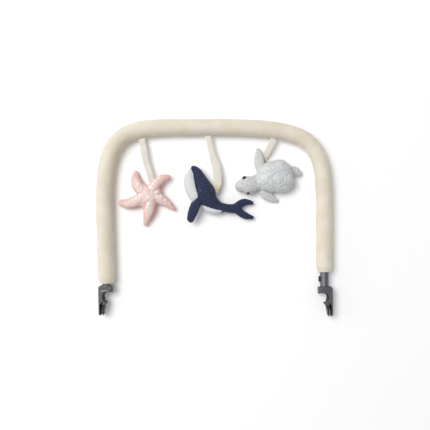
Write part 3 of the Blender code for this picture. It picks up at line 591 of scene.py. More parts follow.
def stuff(piece: Piece, most: float, magnified: float = 4.0, pressure: float = 4.0, frames: int = 20) -> None:
    """Fills a skin by cloth simulation with inner pressure, and caps how far a point moves.

    The skin is simulated magnified, because the solver's default cloth suits pads of half a metre.

    Args:
        piece: the closed skin.
        most: the furthest that a point may move, metres.
        magnified: how many times larger it is while simulated.
        pressure: the solver's inner pressure.
        frames: how long it is simulated.
    """
    before = points_of(piece)
    middle = before.mean(axis=0)
    put_points(piece, (before - middle) * magnified)
    step = piece.modifiers.new("filling", "CLOTH")
    step.settings.use_pressure = True
    step.settings.uniform_pressure_force = pressure
    step.settings.effector_weights.gravity = 0
    step.settings.quality = 4
    for number in range(1, frames + 1):
        bpy.context.scene.frame_set(number)
    settle(piece)
    bpy.context.scene.frame_set(1)
    moved = points_of(piece) / magnified + middle - before
    size = np.linalg.norm(moved, axis=1, keepdims=True)
    put_points(piece, before + moved * np.minimum(1, most / np.maximum(size, TINY)))


def stitch_piece(name: str, path: Array, facing: Array, length: float, gap: float, radius: float) -> Piece:
    """Thread stitches along a path: small spindles, radius sin a, evenly spaced, each along the path.

    Args:
        name: the piece's name.
        path: points of the sewn line, on the cloth.
        facing: the cloth's normal at each point.
        length: a stitch's length, metres.
        gap: the space between stitches, metres.
        radius: the thread's radius, metres.

    Returns:
        one mesh of all the stitches.
    """
    rings, sides = 5, 6
    total = along(path)[-1]
    count = max(1, int(total / (length + gap)))
    centre = (np.arange(count) + 0.5) * total / count
    place, up = at_distances(path, centre), unit(at_distances(np.hstack([path, facing]), centre)[:, 3:])
    heading = unit(at_distances(path, centre + length * 0.2) - at_distances(path, centre - length * 0.2))
    swing = np.linspace(0.25, math.pi - 0.25, rings)[None, :, None, None]
    turn = turns(sides)[None, None, :, None]
    ring = np.cross(heading, up)[:, None, None] * np.cos(turn) + up[:, None, None] * np.sin(turn)
    body = place[:, None, None] - heading[:, None, None] * np.cos(swing) * length / 2
    body = body + ring * np.sin(swing) ** 0.7 * radius
    shift = np.arange(count)[:, None, None] * rings * sides
    caps = np.stack([np.arange(sides)[::-1], (rings - 1) * sides + np.arange(sides)])
    faces = (quads(rings, sides)[None] + shift).reshape(-1, 4).tolist()
    return piece_from(name, body.reshape(-1, 3), faces + (caps[None] + shift).reshape(-1, sides).tolist())


# Finishes


def srgb(red: int, green: int, blue: int) -> Colour:
    """A colour of 0 to 255 as linear light: a power of 2.4 above the short straight part.

    Args:
        red: its red.
        green: its green.
        blue: its blue.

    Returns:
        the colour, with full alpha.
    """
    shares = np.array([red, green, blue]) / 255
    linear = np.where(shares <= 0.04045, shares / 12.92, ((shares + 0.055) / 1.055) ** 2.4)
    return (*linear.tolist(), 1.0)


class Signal:
    """One output of a material's nodes. Sums on signals and numbers add Math nodes."""

    def __init__(self, graph: "Graph", socket: bpy.types.NodeSocket) -> None:
        """Keeps the graph and the socket."""
        self.graph = graph
        self.socket = socket

    def __add__(self, other: Any) -> "Signal":
        """This plus other."""
        return self.graph.sum_of("ADD", self, other)

    __radd__ = __add__

    def __sub__(self, other: Any) -> "Signal":
        """This less other."""
        return self.graph.sum_of("SUBTRACT", self, other)

    def __rsub__(self, other: Any) -> "Signal":
        """Other less this."""
        return self.graph.sum_of("SUBTRACT", other, self)

    def __mul__(self, other: Any) -> "Signal":
        """This times other."""
        return self.graph.sum_of("MULTIPLY", self, other)

    __rmul__ = __mul__

    def wave(self) -> "Signal":
        """The sine of this."""
        return self.graph.sum_of("SINE", self, 0.0)

    def size(self) -> "Signal":
        """This without its sign."""
        return self.graph.sum_of("ABSOLUTE", self, 0.0)

    def least(self, other: Any) -> "Signal":
        """The smaller of this and other."""
        return self.graph.sum_of("MINIMUM", self, other)

    def most(self, other: Any) -> "Signal":
        """The larger of this and other."""
        return self.graph.sum_of("MAXIMUM", self, other)

    def step(self, low: float, high: float) -> "Signal":
        """0 below low and 1 above high, smooth between them; low may be above high."""
        ends = {1: low, 2: high, 3: 0.0, 4: 1.0} if low < high else {1: high, 2: low, 3: 1.0, 4: 0.0}
        return self.graph.add("ShaderNodeMapRange", {"interpolation_type": "SMOOTHSTEP"}, {0: self, **ends})


class Graph:
    """The nodes of one material round its Principled shader."""

    def __init__(self, name: str) -> None:
        """Makes the material.

        Args:
            name: its name.
        """
        self.material = bpy.data.materials.new(name)
        self.material.use_nodes = True
        self.tree = self.material.node_tree
        self.shader = self.tree.nodes["Principled BSDF"]

    def add(
        self, kind: str, settings: dict | None = None, sockets: dict | None = None, out: Any = 0
    ) -> Signal:
        """Adds a node of any type: first its settings, then the values or links of its sockets.

        Args:
            kind: the node's type.
            settings: its properties.
            sockets: values or signals by socket name or number.
            out: the name or number of the output to return.

        Returns:
            that output.
        """
        node = self.tree.nodes.new(kind)
        for key, value in (settings or {}).items():
            setattr(node, key, value)
        for key, value in (sockets or {}).items():
            self.feed(node.inputs[key], value)
        return Signal(self, node.outputs[out])

    def feed(self, socket: bpy.types.NodeSocket, value: Any) -> None:
        """Links a signal to a socket, or sets the socket to a value.

        Args:
            socket: the input.
            value: a signal or what the socket holds.
        """
        if isinstance(value, Signal):
            self.tree.links.new(value.socket, socket)
        else:
            socket.default_value = value

    def sum_of(self, operation: str, first: Any, second: Any) -> Signal:
        """One Math node on two signals or numbers."""
        return self.add("ShaderNodeMath", {"operation": operation}, {0: first, 1: second})

    def place(self, stretch: Way = (1, 1, 1), turn: float = 0.0) -> Signal:
        """Object coordinates, turned about Z and stretched.

        Args:
            stretch: the scale along X, Y and Z.
            turn: radians.

        Returns:
            the vector.
        """
        coordinates = self.add("ShaderNodeTexCoord", None, None, "Object")
        sockets = {"Vector": coordinates, "Rotation": (0, 0, turn), "Scale": stretch}
        return self.add("ShaderNodeMapping", None, sockets)

    def cloth(self) -> Signal:
        """The piece's own UV map, in metres along and across."""
        return self.add("ShaderNodeUVMap", {"uv_map": "cloth"})

    def part(self, vector: Signal, axis: str) -> Signal:
        """X, Y or Z of a vector."""
        return self.add("ShaderNodeSeparateXYZ", None, {0: vector}, axis)

    def field(self, name: str) -> Signal:
        """A number that the piece's builder kept at each vertex."""
        return self.add("ShaderNodeAttribute", {"attribute_name": name}, None, "Fac")

    def noise(self, where: Signal, per_metre: float, detail: float = 3.0, rough: float = 0.55) -> Signal:
        """Fractal noise from 0 to 1 with so many lumps a metre."""
        sockets = {"Vector": where, "Scale": per_metre, "Detail": detail, "Roughness": rough}
        return self.add("ShaderNodeTexNoise", None, sockets)

    def mix(self, share: Any, first: Any, second: Any) -> Signal:
        """A colour that goes from the first to the second as the share goes from 0 to 1."""
        return self.add("ShaderNodeMix", {"data_type": "RGBA"}, {0: share, 6: first, 7: second}, 2)

    def relief(self, height: Signal, depth: float, strength: float = 1.0) -> None:
        """Feeds a height of about 0 to 1, so many metres deep, to the shader's normal."""
        sockets = {"Strength": strength, "Distance": depth, "Height": height}
        self.feed(self.shader.inputs["Normal"], self.add("ShaderNodeBump", None, sockets, "Normal"))

    def finish(self, **fixed: Any) -> bpy.types.Material:
        """Sets the shader's sockets, named with underscores for spaces.

        Args:
            fixed: a value or signal for each socket.

        Returns:
            the material.
        """
        for key, value in fixed.items():
            self.feed(self.shader.inputs[key.replace("_", " ")], value)
        return self.material


@dataclass(frozen=True)
class CoverCloth:
    """The arch's cover: smooth brushed cotton in warm cream, with a fine weave, a soft bloom and a warmer
    tone painted on the side away from the light as painted shade.
    """

    pale: Colour = srgb(234, 226, 211)
    deep: Colour = srgb(221, 210, 190)
    # warm is the painted shade on the side that faces away from the light
    warm: Colour = srgb(246, 230, 194)
    name: str = "brushed_cotton_cover"

    def material(self) -> bpy.types.Material:
        """Broad warm clouds, a fine lengthwise and crosswise weave, and a fine nap.

        Returns:
            the material.
        """
        g = Graph(self.name)
        where, cloth = g.place(), g.cloth()
        clouds = g.noise(where, 38, 4)
        weave = (g.part(cloth, "X") * 5200).wave() * (g.part(cloth, "Y") * 5200).wave() * 0.5 + 0.5
        nap = g.noise(where, 1400, 2)
        share = (clouds.step(0.35, 0.7) * 0.6 + nap * 0.25 + weave * 0.15).least(1.0)
        g.relief(weave * 0.4 + nap * 0.6, 0.00022, 0.6)
        # Painted shade: a warmer tone where the cloth faces away from the light
        cotton = g.mix(g.field("cover_shade_side") * 0.7, g.mix(share, self.deep, self.pale), self.warm)
        return g.finish(Base_Color=cotton, Roughness=nap * 0.1 + 0.82, Sheen_Weight=0.7, Sheen_Roughness=0.45)


@dataclass(frozen=True)
class FoamFinish:
    """The padding under the cover: open-cell foam."""

    pale: Colour = srgb(232, 228, 214)
    deep: Colour = srgb(204, 197, 178)
    name: str = "open_cell_foam"

    def material(self) -> bpy.types.Material:
        """Small cells from a Voronoi pattern, with painted shade in their pits.

        Returns:
            the material.
        """
        g = Graph(self.name)
        cells = g.add("ShaderNodeTexVoronoi", None, {"Vector": g.place(), "Scale": 900.0}, "Distance")
        pits = cells.step(0.0, 0.6)
        g.relief(pits, 0.0005, 0.8)
        # Painted shade: the pits are mixed towards the deep colour
        return g.finish(Base_Color=g.mix(pits, self.deep, self.pale), Roughness=0.95)


@dataclass(frozen=True)
class ElasticFinish:
    """The band inside each hem: ribbed elastic."""

    pale: Colour = srgb(226, 219, 202)
    deep: Colour = srgb(176, 166, 144)
    name: str = "ribbed_elastic"

    def material(self) -> bpy.types.Material:
        """Ribs across the band with a loose fuzz: the valleys between the ribs are painted darker as painted
        shade, and the fuzz varies the tone.

        Returns:
            the material.
        """
        g = Graph(self.name)
        ribs = (g.part(g.place(), "Y") * 7000).wave() * 0.5 + 0.5
        fuzz = g.noise(g.place(), 900, 3)
        g.relief(ribs * 0.7 + fuzz * 0.3, 0.0004)
        # Painted shade in the rib valleys, with a random tone from the fuzz
        return g.finish(Base_Color=g.mix(ribs * 0.6 + fuzz * 0.4, self.deep, self.pale), Roughness=0.9)


@dataclass(frozen=True)
class MetalFinish:
    """Tube, pins and springs: metal with drawn lines, handling smears and a few scuffs."""

    name: str
    base: Colour
    worn: Colour
    metallic: float
    roughness: float
    coat: float = 0.0

    def material(self) -> bpy.types.Material:
        """Long fine lines, broad smears in the roughness and sparse brighter scuffs.

        Returns:
            the material.
        """
        g = Graph(self.name)
        lines = g.noise(g.place((9, 1, 9)), 420, 3)
        smears = g.noise(g.place(), 60, 4)
        scuffs = g.noise(g.place((1, 3, 1)), 330, 5, 0.7).step(0.66, 0.74)
        g.relief(lines, 0.00006, 0.5)
        rough = smears * 0.18 + lines * 0.06 + (self.roughness - 0.12)
        metal = g.mix(scuffs * 0.5, self.base, self.worn)
        coat = {"Coat_Weight": self.coat, "Coat_Roughness": 0.25}
        return g.finish(Base_Color=metal, Metallic=self.metallic, Roughness=rough, **coat)


@dataclass(frozen=True)
class MouldedPlastic:
    """Clip, lever and button: moulded plastic with a fine spark grain and rubbed patches."""

    name: str
    base: Colour
    worn: Colour
    roughness: float
    grain: float = 0.00005

    def material(self) -> bpy.types.Material:
        """A fine pebbled grain, faint flow clouds and paler rubbed patches.

        Returns:
            the material.
        """
        g = Graph(self.name)
        where = g.place()
        sockets = {"Vector": where, "Scale": 1700.0}
        pebbles = g.add("ShaderNodeTexVoronoi", {"feature": "SMOOTH_F1"}, sockets, "Distance")
        flow = g.noise(g.place((1, 0.4, 1)), 130, 4)
        rubbed = g.noise(where, 420, 5, 0.7).step(0.58, 0.72)
        g.relief(pebbles, self.grain, 0.7)
        share = (rubbed * 0.55 + flow * 0.3).least(1.0)
        plastic, rough = g.mix(share, self.base, self.worn), flow * 0.16 + (self.roughness - 0.08)
        return g.finish(Base_Color=plastic, Roughness=rough, Specular_IOR_Level=0.45)


@dataclass(frozen=True)
class RibbonFinish:
    """The hanging ribbons: herringbone cotton tape in ecru with a sewn edge."""

    pale: Colour = srgb(250, 246, 236)
    deep: Colour = srgb(240, 232, 216)
    tan: Colour = srgb(226, 190, 142)
    name: str = "cotton_tape"

    def material(self) -> bpy.types.Material:
        """Slanted ribs that turn at the middle, a darker sewn line inside each edge and soft clouds.

        Returns:
            the material.
        """
        g = Graph(self.name)
        cloth = g.cloth()
        along_it, across = g.part(cloth, "X"), g.field("across")
        ribs = ((along_it + across.size() * 0.006) * 7500).wave() * 0.5 + 0.5
        sewn = (across.size() - 0.78).size().step(0.06, 0.02) * ((along_it * 2600).wave().step(-0.3, 0.3))
        clouds = g.noise(g.place(), 90, 4)
        g.relief(ribs * 0.6 + (1 - sewn) * 0.4, 0.00035)
        share = (ribs * 0.35 + clouds * 0.65 - sewn * 0.5).most(0.0)
        cotton = g.mix(g.field("tanned") * 0.75, g.mix(share, self.deep, self.pale), self.tan)
        return g.finish(Base_Color=cotton, Roughness=0.86, Sheen_Weight=0.15)


@dataclass(frozen=True)
class StarPlush:
    """The starfish: pale pink short plush with raised white spots, painted deeper pink as painted shade
    towards its seams, its lower right side and its creases.
    """

    pale: Colour = srgb(239, 223, 218)
    # blush is partly painted shade on the flanks and the lower right side and partly a random tone; seam is
    # painted shade in the creases
    blush: Colour = srgb(227, 154, 137)
    seam: Colour = srgb(204, 126, 106)
    spot: Colour = srgb(252, 246, 242)
    name: str = "pink_plush"

    def material(self) -> bpy.types.Material:
        """Pile clumps over a blush that grows towards the seam and the lower right side as painted shade, a
        deeper pink painted in the creases as painted shade, then the spots.

        Returns:
            the material.
        """
        g = Graph(self.name)
        where = g.place()
        pile, clumps = g.noise(where, 1500, 2), g.noise(where, 260, 4)
        side, crease, spot = g.field("side"), g.field("crease"), g.field("spot")
        blush = (side * 0.95 + (clumps - 0.5) * 1.1 + (pile - 0.5) * 0.5 + 0.16).most(0.0).least(1.0)
        skin = g.mix(blush, self.pale, self.blush)
        skin = g.mix((crease * 0.9 + (clumps - 0.5) * 0.25).most(0.0).least(1.0), skin, self.seam)
        plush = g.mix(spot.step(0.1, 0.95), skin, self.spot)
        g.relief(pile * 0.55 + clumps * 0.45, 0.0006, 0.7)
        return g.finish(Base_Color=plush, Roughness=0.9, Sheen_Weight=0.18, Sheen_Roughness=0.5)


@dataclass(frozen=True)
class WhaleCloth:
    """The whale: navy melange knit on its back, ribbed white jersey on its belly."""

    navy: Colour = srgb(46, 55, 84)
    ink: Colour = srgb(28, 34, 61)
    teal: Colour = srgb(70, 88, 114)
    white: Colour = srgb(226, 226, 229)
    # grey is painted shade in the belly's rib grooves, and also marks the border where the cloths meet
    grey: Colour = srgb(200, 200, 207)
    name: str = "whale_cloth"

    def material(self) -> bpy.types.Material:
        """Short slanted fibres of three blues, and on the belly soft grey painted in the rib grooves as
        painted shade and along the border where the cloths meet.

        Returns:
            the material.
        """
        g = Graph(self.name)
        fibres = g.noise(g.place((1, 0.45, 1), 0.5), 620, 3, 0.6)
        flecks = g.noise(g.place((0.5, 1, 1), -0.4), 780, 4, 0.65)
        knit = g.noise(g.place(), 1500, 2)
        blue = g.mix(fibres.step(0.38, 0.62), self.ink, self.navy)
        blue = g.mix(flecks.step(0.55, 0.72) * 0.7, blue, self.teal)
        belly = g.mix((g.field("groove") * 0.45 + knit * 0.3).least(1.0), self.white, self.grey)
        cloth = g.mix(g.field("panel").step(-0.0003, 0.0003), belly, blue)
        g.relief(fibres * 0.4 + knit * 0.6, 0.0005, 0.7)
        return g.finish(Base_Color=cloth, Roughness=0.92, Sheen_Weight=0.12, Sheen_Roughness=0.5)


@dataclass(frozen=True)
class MelangeCloth:
    """The turtle's skin: light grey melange jersey."""

    pale: Colour = srgb(224, 224, 222)
    deep: Colour = srgb(176, 177, 178)
    fleck: Colour = srgb(140, 142, 144)
    name: str = "grey_melange"

    def material(self) -> bpy.types.Material:
        """Crossed fibres of two greys with sparse darker flecks, painted darker in the creases as painted
        shade and a little along the side seam.

        Returns:
            the material.
        """
        g = Graph(self.name)
        fibres = g.noise(g.place((1, 0.4, 1), 0.6), 700, 3, 0.6)
        cross = g.noise(g.place((0.4, 1, 1), 0.6), 700, 3, 0.6)
        share = (fibres * 0.5 + cross * 0.5).step(0.36, 0.62)
        skin = g.mix(share, self.deep, self.pale)
        skin = g.mix(g.noise(g.place(), 900, 4, 0.7).step(0.62, 0.72) * 0.5, skin, self.fleck)
        # Painted shade: the creases are painted towards the fleck grey, and the side seam a little
        skin = g.mix(g.field("crease") * 0.6, skin, self.fleck)
        g.relief(fibres * 0.5 + cross * 0.5, 0.0005, 0.7)
        return g.finish(Base_Color=skin, Roughness=0.92, Sheen_Weight=0.15, Sheen_Roughness=0.5)


@dataclass(frozen=True)
class QuiltedCloth:
    """The turtle's shell: pale jersey with hexagons quilted in mint thread."""

    pale: Colour = srgb(228, 228, 228)
    deep: Colour = srgb(200, 201, 203)
    mint: Colour = srgb(172, 202, 202)
    # The sewn lines fade from the second to the first of these places up the picture, metres
    fades_between: tuple[float, float] = (0.100, 0.084)
    name: str = "quilted_jersey"

    def material(self) -> bpy.types.Material:
        """Soft jersey, mint along the sewn lines and a mint bloom beside them.

        Returns:
            the material.
        """
        g = Graph(self.name)
        fibres = g.noise(g.place((1, 0.5, 1), 0.3), 800, 3)
        clouds = g.noise(g.place(), 120, 4)
        skin = g.mix((fibres * 0.5 + clouds * 0.5).step(0.35, 0.65), self.deep, self.pale)
        line = g.field("line").size()
        bold = g.part(g.place(), "Y").step(*self.fades_between) * 0.75 + 0.25
        skin = g.mix(line.step(0.0026, 0.0006) * bold * 0.2, skin, self.mint)
        skin = g.mix(line.step(0.0009, 0.0003) * bold * 0.55, skin, self.mint)
        g.relief(fibres, 0.0004, 0.6)
        return g.finish(Base_Color=skin, Roughness=0.9, Sheen_Weight=0.15, Sheen_Roughness=0.5)


@dataclass(frozen=True)
class ThreadFinish:
    """Sewing and embroidery thread: twisted strands with a slight lustre."""

    name: str
    base: Colour
    shade: Colour
    roughness: float = 0.6

    def material(self) -> bpy.types.Material:
        """Fine slanted strands in two tones.

        Returns:
            the material.
        """
        g = Graph(self.name)
        strands = (g.part(g.place((1, 1, 1), 0.7), "X") * 16000).wave() * 0.5 + 0.5
        fuzz = g.noise(g.place(), 1200, 2)
        share = strands * 0.6 + fuzz * 0.4
        g.relief(share, 0.0002, 0.8)
        thread = g.mix(share, self.shade, self.base)
        return g.finish(Base_Color=thread, Roughness=self.roughness, Sheen_Weight=0.1)


CREAM_THREAD = ThreadFinish("cream_thread", srgb(238, 232, 216), srgb(206, 196, 174))
BLACK_THREAD = ThreadFinish("black_thread", srgb(46, 44, 46), srgb(16, 15, 16), 0.45)
TAN_THREAD = ThreadFinish("tan_thread", srgb(176, 160, 128), srgb(128, 112, 84))


def dress(piece: Piece, finish: Any, body: str, slot: str, replaced: tuple[str, ...] = ()) -> Piece:
    """Gives a new piece its finish, the CAD body that it rides on and the nodes that it stands for.

    Args:
        piece: the finished mesh.
        finish: a finish with a material method.
        body: the CAD body's name.
        slot: the record's material slot.
        replaced: CAD nodes that it replaces.

    Returns:
        the piece.
    """
    paint(piece, finish)
    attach(piece, body)
    settle_names(piece, slot, replaced)
    return piece


def settle_names(piece: Piece, slot: str, replaced: tuple[str, ...]) -> None:
    """Hides the CAD nodes that a piece stands for, and logs the piece, its slot and those nodes.

    Args:
        piece: the object.
        slot: the record's material slot.
        replaced: CAD nodes that it replaces.
    """
    if replaced:
        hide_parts(*replaced)
    stands_for = ", ".join(replaced) or "nothing"
    LOG.info("%s: %d faces, slot %s, stands for %s", piece.name, len(piece.data.polygons), slot, stands_for)


MADE: dict[str, bpy.types.Material] = {}


def paint(piece: Piece, finish: Any) -> None:
    """Gives a piece a finish's material, which is made once.

    Args:
        piece: the object.
        finish: a finish with a name and a material method.
    """
    if finish.name not in MADE:
        MADE[finish.name] = finish.material()
    piece.data.materials.clear()
    piece.data.materials.append(MADE[finish.name])


def dress_node(node: str, finish: Any) -> None:
    """Gives a CAD node that stays visible its finish."""
    paint(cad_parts[node], finish)
    LOG.info("%s: CAD node in %s", node, finish.name)


# The padded arch


class Side(Enum):
    """The two ends of the arch."""

    LEFT = "left"
    RIGHT = "right"


@dataclass
class PaddedArch:
    """The bent tube with its foam, gathered cover and elastic hems, on the body named bar."""

    left_spring: Place = (-0.20935, -0.0114)
    crown_left: Place = (-0.06915, 0.1719)
    crown_right: Place = (-0.00575, 0.1719)
    right_spring: Place = (0.20935, -0.0114)
    # The Bezier handles of the two bends, as shares of their rise and run
    handles: tuple[float, float, float, float] = (0.896, 0.888, 0.996, 0.871)
    rise: float = 0.1833
    cover_radius: float = 0.0158
    hem_radius: float = 0.0130
    hem_taper: float = 0.012
    # How far the cover stops short of the tube's two ends
    left_hem: float = 0.0038
    right_hem: float = 0.0276
    # A rolled rim: places along the cover and out from its skin, millimetres
    rolled: Rows = ((4, -1.25), (2, -1.25), (0.5, -1.2), (0, -1), (-0.25, -0.6), (-0.1, -0.25), (0.3, -0.05))
    # The sewn line of a hem: how far it is from the rim, how deep its thread and its groove are, its stitches
    hem_line: float = 0.0052
    hem_sunk: float = 0.00035
    hem_groove: float = 0.00045
    hem_stitch: Stitch = (0.0024, 0.0009, 0.00032)
    tube_radius: float = 0.00825
    tube_wall: float = 0.0015
    pleats: int = 17
    pleat_height: float = 0.00042
    pleat_fade: float = 0.0075
    wrinkle_height: float = 0.00016
    wrinkle_pitch: float = 0.0125
    # The long seam: where it runs round the tube, radians, how deep it is and how high its two ridges are
    seam_turn: float = 1.15
    seam_groove: float = 0.0007
    seam_ridge: float = 0.00025
    seam_pucker: float = 0.0034
    # The cloth is painted warmer where it faces this way, to the right, down the picture and under, away from
    # the light: painted shade
    cover_shade_way: Way = (0.80, -0.50, -0.33)
    body: str = "bar"

    def centreline(self) -> Array:
        """The tube's centreline: a leg, two cubic Bezier bends with a straight crown between, and a leg.

        Returns:
            dense points from the left end to the right end.
        """
        left, spring, crown = (np.array(x) for x in (LEFT_END, self.left_spring, self.crown_left))
        other, down, right = (np.array(x) for x in (self.crown_right, self.right_spring, RIGHT_END))
        a, b, c, d = self.handles
        ahead, upwards = np.array([1.0, 0.0]), np.array([0.0, 1.0])
        rising = spring + unit(spring - left) * a * self.rise
        first = self.bend(spring, rising, crown - ahead * b * (crown[0] - spring[0]), crown)
        falling = down + upwards * d * self.rise
        second = self.bend(other, other + ahead * c * (down[0] - other[0]), falling, down)
        flat = np.vstack([left, first, second, right])
        flat = at_distances(flat, np.linspace(0, along(flat)[-1], 1400))
        return np.hstack([flat, np.full((len(flat), 1), BAR_HEIGHT)])

    @staticmethod
    def bend(start: Array, first: Array, second: Array, end: Array) -> Array:
        """A cubic Bezier curve: weights (1-t)^3, 3t(1-t)^2, 3t^2(1-t) and t^3."""
        t = np.linspace(0, 1, 200)[:, None]
        return (1 - t) ** 3 * start + 3 * t * (1 - t) ** 2 * first + 3 * t**2 * (1 - t) * second + t**3 * end

    def radius_at(self, from_end: Array) -> Array:
        """The cover's radius so far from its end, drawn in at the hem."""
        drawn = smoothstep(from_end, -0.001, self.hem_taper)
        return self.hem_radius + (self.cover_radius - self.hem_radius) * drawn

    def cover(self) -> Piece:
        """The cover: rings along the centreline, drawn in and pleated at the hems, each rim rolled inwards.

        Returns:
            the dressed piece.
        """
        route = self.centreline()
        low, high = self.left_hem, along(route)[-1] - self.right_hem
        body = np.linspace(low, high, 640)[2:-2]
        roll = np.array(self.rolled, float) * MM
        where = np.concatenate([low + roll[:, 0], body, high - roll[::-1, 0]])
        inset = np.concatenate([roll[:, 1], np.zeros(len(body)), roll[::-1, 1]])
        path, turn = at_distances(route, where), turns(112)
        from_end = np.minimum(where - low, high - where)
        rings = np.repeat((self.radius_at(from_end) + inset)[:, None], len(turn), 1)
        rings += self.hem_pleats(from_end, turn) + self.corner_wrinkles(where, path, turn)
        rings += self.long_seam(where, turn)
        ring = spokes(inward(path), turn)
        grid = path[:, None] + ring * rings[..., None]
        flat = grid.reshape(-1, 3)
        soft = unevenness(flat, 0.035, 4) * 0.00028 + unevenness(flat, 0.012, 9) * 0.00012
        soft = soft.reshape(rings.shape) * smoothstep(from_end, 0, 0.01)[:, None]
        piece = grid_piece("arch_cover", grid + ring * soft[..., None], Ends.OPEN)
        # Painted shade: how far each point faces away from the light
        write_field(piece, "cover_shade_side", smoothstep(normals_of(piece) @ np.array(self.cover_shade_way), 0.15, 0.9))
        nodes = ("cover_left_leg", "cover_left_bend", "cover_crown", "cover_right_bend", "cover_right_leg")
        dress(piece, CoverCloth(), self.body, "cover_fabric", nodes)
        self.hem_stitches(route, low + self.hem_line, Side.LEFT)
        self.hem_stitches(route, high - self.hem_line, Side.RIGHT)
        return piece

    def hem_pleats(self, from_end: Array, turn: Array) -> Array:
        """Pleats of a drawn hem, and its sewn line: sharpened cosines round the ring that fade from the hem.

        Args:
            from_end: each ring's distance from the nearer rim.
            turn: the angles of a ring's points.

        Returns:
            how far out each point goes, rings by angles.
        """
        wave = np.cos(turn * self.pleats + 0.6 * np.sin(3 * turn)) * 0.6
        wave = wave + 0.4 * np.cos(turn * (self.pleats + 6) + 1.3)
        fade = np.exp(-np.maximum(from_end, 0) / self.pleat_fade) * smoothstep(from_end, -0.0005, 0.0015)
        line = bump_at(from_end, self.hem_line, 0.0006) * self.hem_groove
        return wave[None] * fade[:, None] * self.pleat_height - line[:, None]

    def corner_wrinkles(self, where: Array, path: Array, turn: Array) -> Array:
        """Wrinkles on the inner side of the bends: ridges along the path, as strong as the path curves.

        Args:
            where: each ring's distance along the tube.
            path: each ring's centre.
            turn: the angles of a ring's points.

        Returns:
            how far out each point goes, rings by angles.
        """
        heading = tangents(path)
        bend = np.abs(np.gradient(np.unwrap(np.arctan2(heading[:, 1], heading[:, 0])), where))
        strength = np.clip(bend / 14.0, 0, 1) * (0.55 + 0.45 * np.sin(where * 71 + 0.8))
        inner = smoothstep(np.cos(turn), 0.15, 1.0)
        drift = 0.0016 * np.sin(turn * 2 + 0.4)[None] + 0.0023 * np.sin(where * 310)[:, None]
        phase = 2.2 * np.sin(where * 47)[:, None]
        wave = np.sin((where[:, None] + drift) * 2 * math.pi / self.wrinkle_pitch + phase)
        return wave * strength[:, None] * inner[None] * self.wrinkle_height

    def long_seam(self, where: Array, turn: Array) -> Array:
        """The cover's long seam, low on its inner side: a puckered groove between two soft ridges.

        Args:
            where: each ring's distance along the tube.
            turn: the angles of a ring's points.

        Returns:
            how far out each point goes, rings by angles.
        """
        off = np.angle(np.exp(1j * (turn + self.seam_turn))) * self.cover_radius
        pucker = 1 + 0.35 * np.sin(where * 2 * math.pi / self.seam_pucker)
        groove = self.seam_groove * bump_at(off, 0, 0.0008)[None] * pucker[:, None]
        return self.seam_ridge * bump_at(np.abs(off), 0.0024, 0.0012)[None] - groove

    def hem_stitches(self, route: Array, where: float, side: Side) -> None:
        """One row of thread round a hem, on the cover's sewn line.

        Args:
            route: the centreline.
            where: the row's distance along it.
            side: which hem.
        """
        nearby = at_distances(route, where + np.array([-1, 0, 1]) * 0.1 * MM)
        ring = spokes(inward(nearby)[1:2], np.linspace(0, 2 * math.pi, 97))[0]
        path = nearby[1] + ring * (self.radius_at(self.hem_line) - self.hem_sunk)
        stitches = stitch_piece(f"hem_stitches_{side.value}", path, ring, *self.hem_stitch)
        dress(stitches, CREAM_THREAD, self.body, "cover_fabric")

    def tube(self) -> Piece:
        """The bent tube: an outer skin, an inner one and a rim between them, drilled for the buttons.

        Returns:
            the dressed piece.
        """
        route = self.centreline()
        route = at_distances(route, np.linspace(0, along(route)[-1], 260))
        outer, inner = (
            tube_grid(route, np.full(len(route), radius), 64)
            for radius in (self.tube_radius, self.tube_radius - self.tube_wall)
        )
        tube = grid_piece("bent_tube", np.concatenate([outer, inner[::-1]]), Ends.JOINED)
        for side in Side:
            drilled(tube, FrameClip(side).button_cutter())
        return dress(tube, TUBE_PAINT, self.body, "dark_steel", ("arch_tube",))

    def build(self) -> None:
        """Makes the cover and the tube, and dresses the foam and the elastic."""
        self.cover()
        self.tube()
        dress_node("foam_sleeve", FoamFinish())
        for side in Side:
            dress_node(f"hem_band_{side.value}", ElasticFinish())


TUBE_PAINT = MetalFinish("satin_dark_tube", srgb(116, 116, 122), srgb(165, 165, 170), 0.7, 0.36, 0.15)
PIN_METAL = MetalFinish("pin_steel", srgb(176, 176, 180), srgb(214, 214, 216), 1.0, 0.3)
SPRING_METAL = MetalFinish("spring_wire", srgb(190, 190, 194), srgb(222, 222, 224), 1.0, 0.26)
CLIP_PLASTIC = MouldedPlastic("clip_plastic", srgb(76, 76, 80), srgb(130, 129, 133), 0.34)
# A paler plastic for the left clip's band alone: a painted highlight
CAP_HIGHLIGHT_PLASTIC = MouldedPlastic("painted_highlight_clip_plastic", srgb(140, 140, 145), srgb(176, 176, 180), 0.3)
LEVER_PLASTIC = MouldedPlastic("lever_plastic", srgb(52, 52, 55), srgb(96, 96, 99), 0.36)
# Near-black rubber laid on the notch's wall, which is only in shade: painted shade
NOTCH_SHADE_SHEET = MouldedPlastic("painted_shade_notch_sheet", srgb(20, 20, 21), srgb(44, 44, 45), 0.7)
BUTTON_PLASTIC = MouldedPlastic("button_plastic", srgb(26, 26, 28), srgb(70, 70, 72), 0.36)


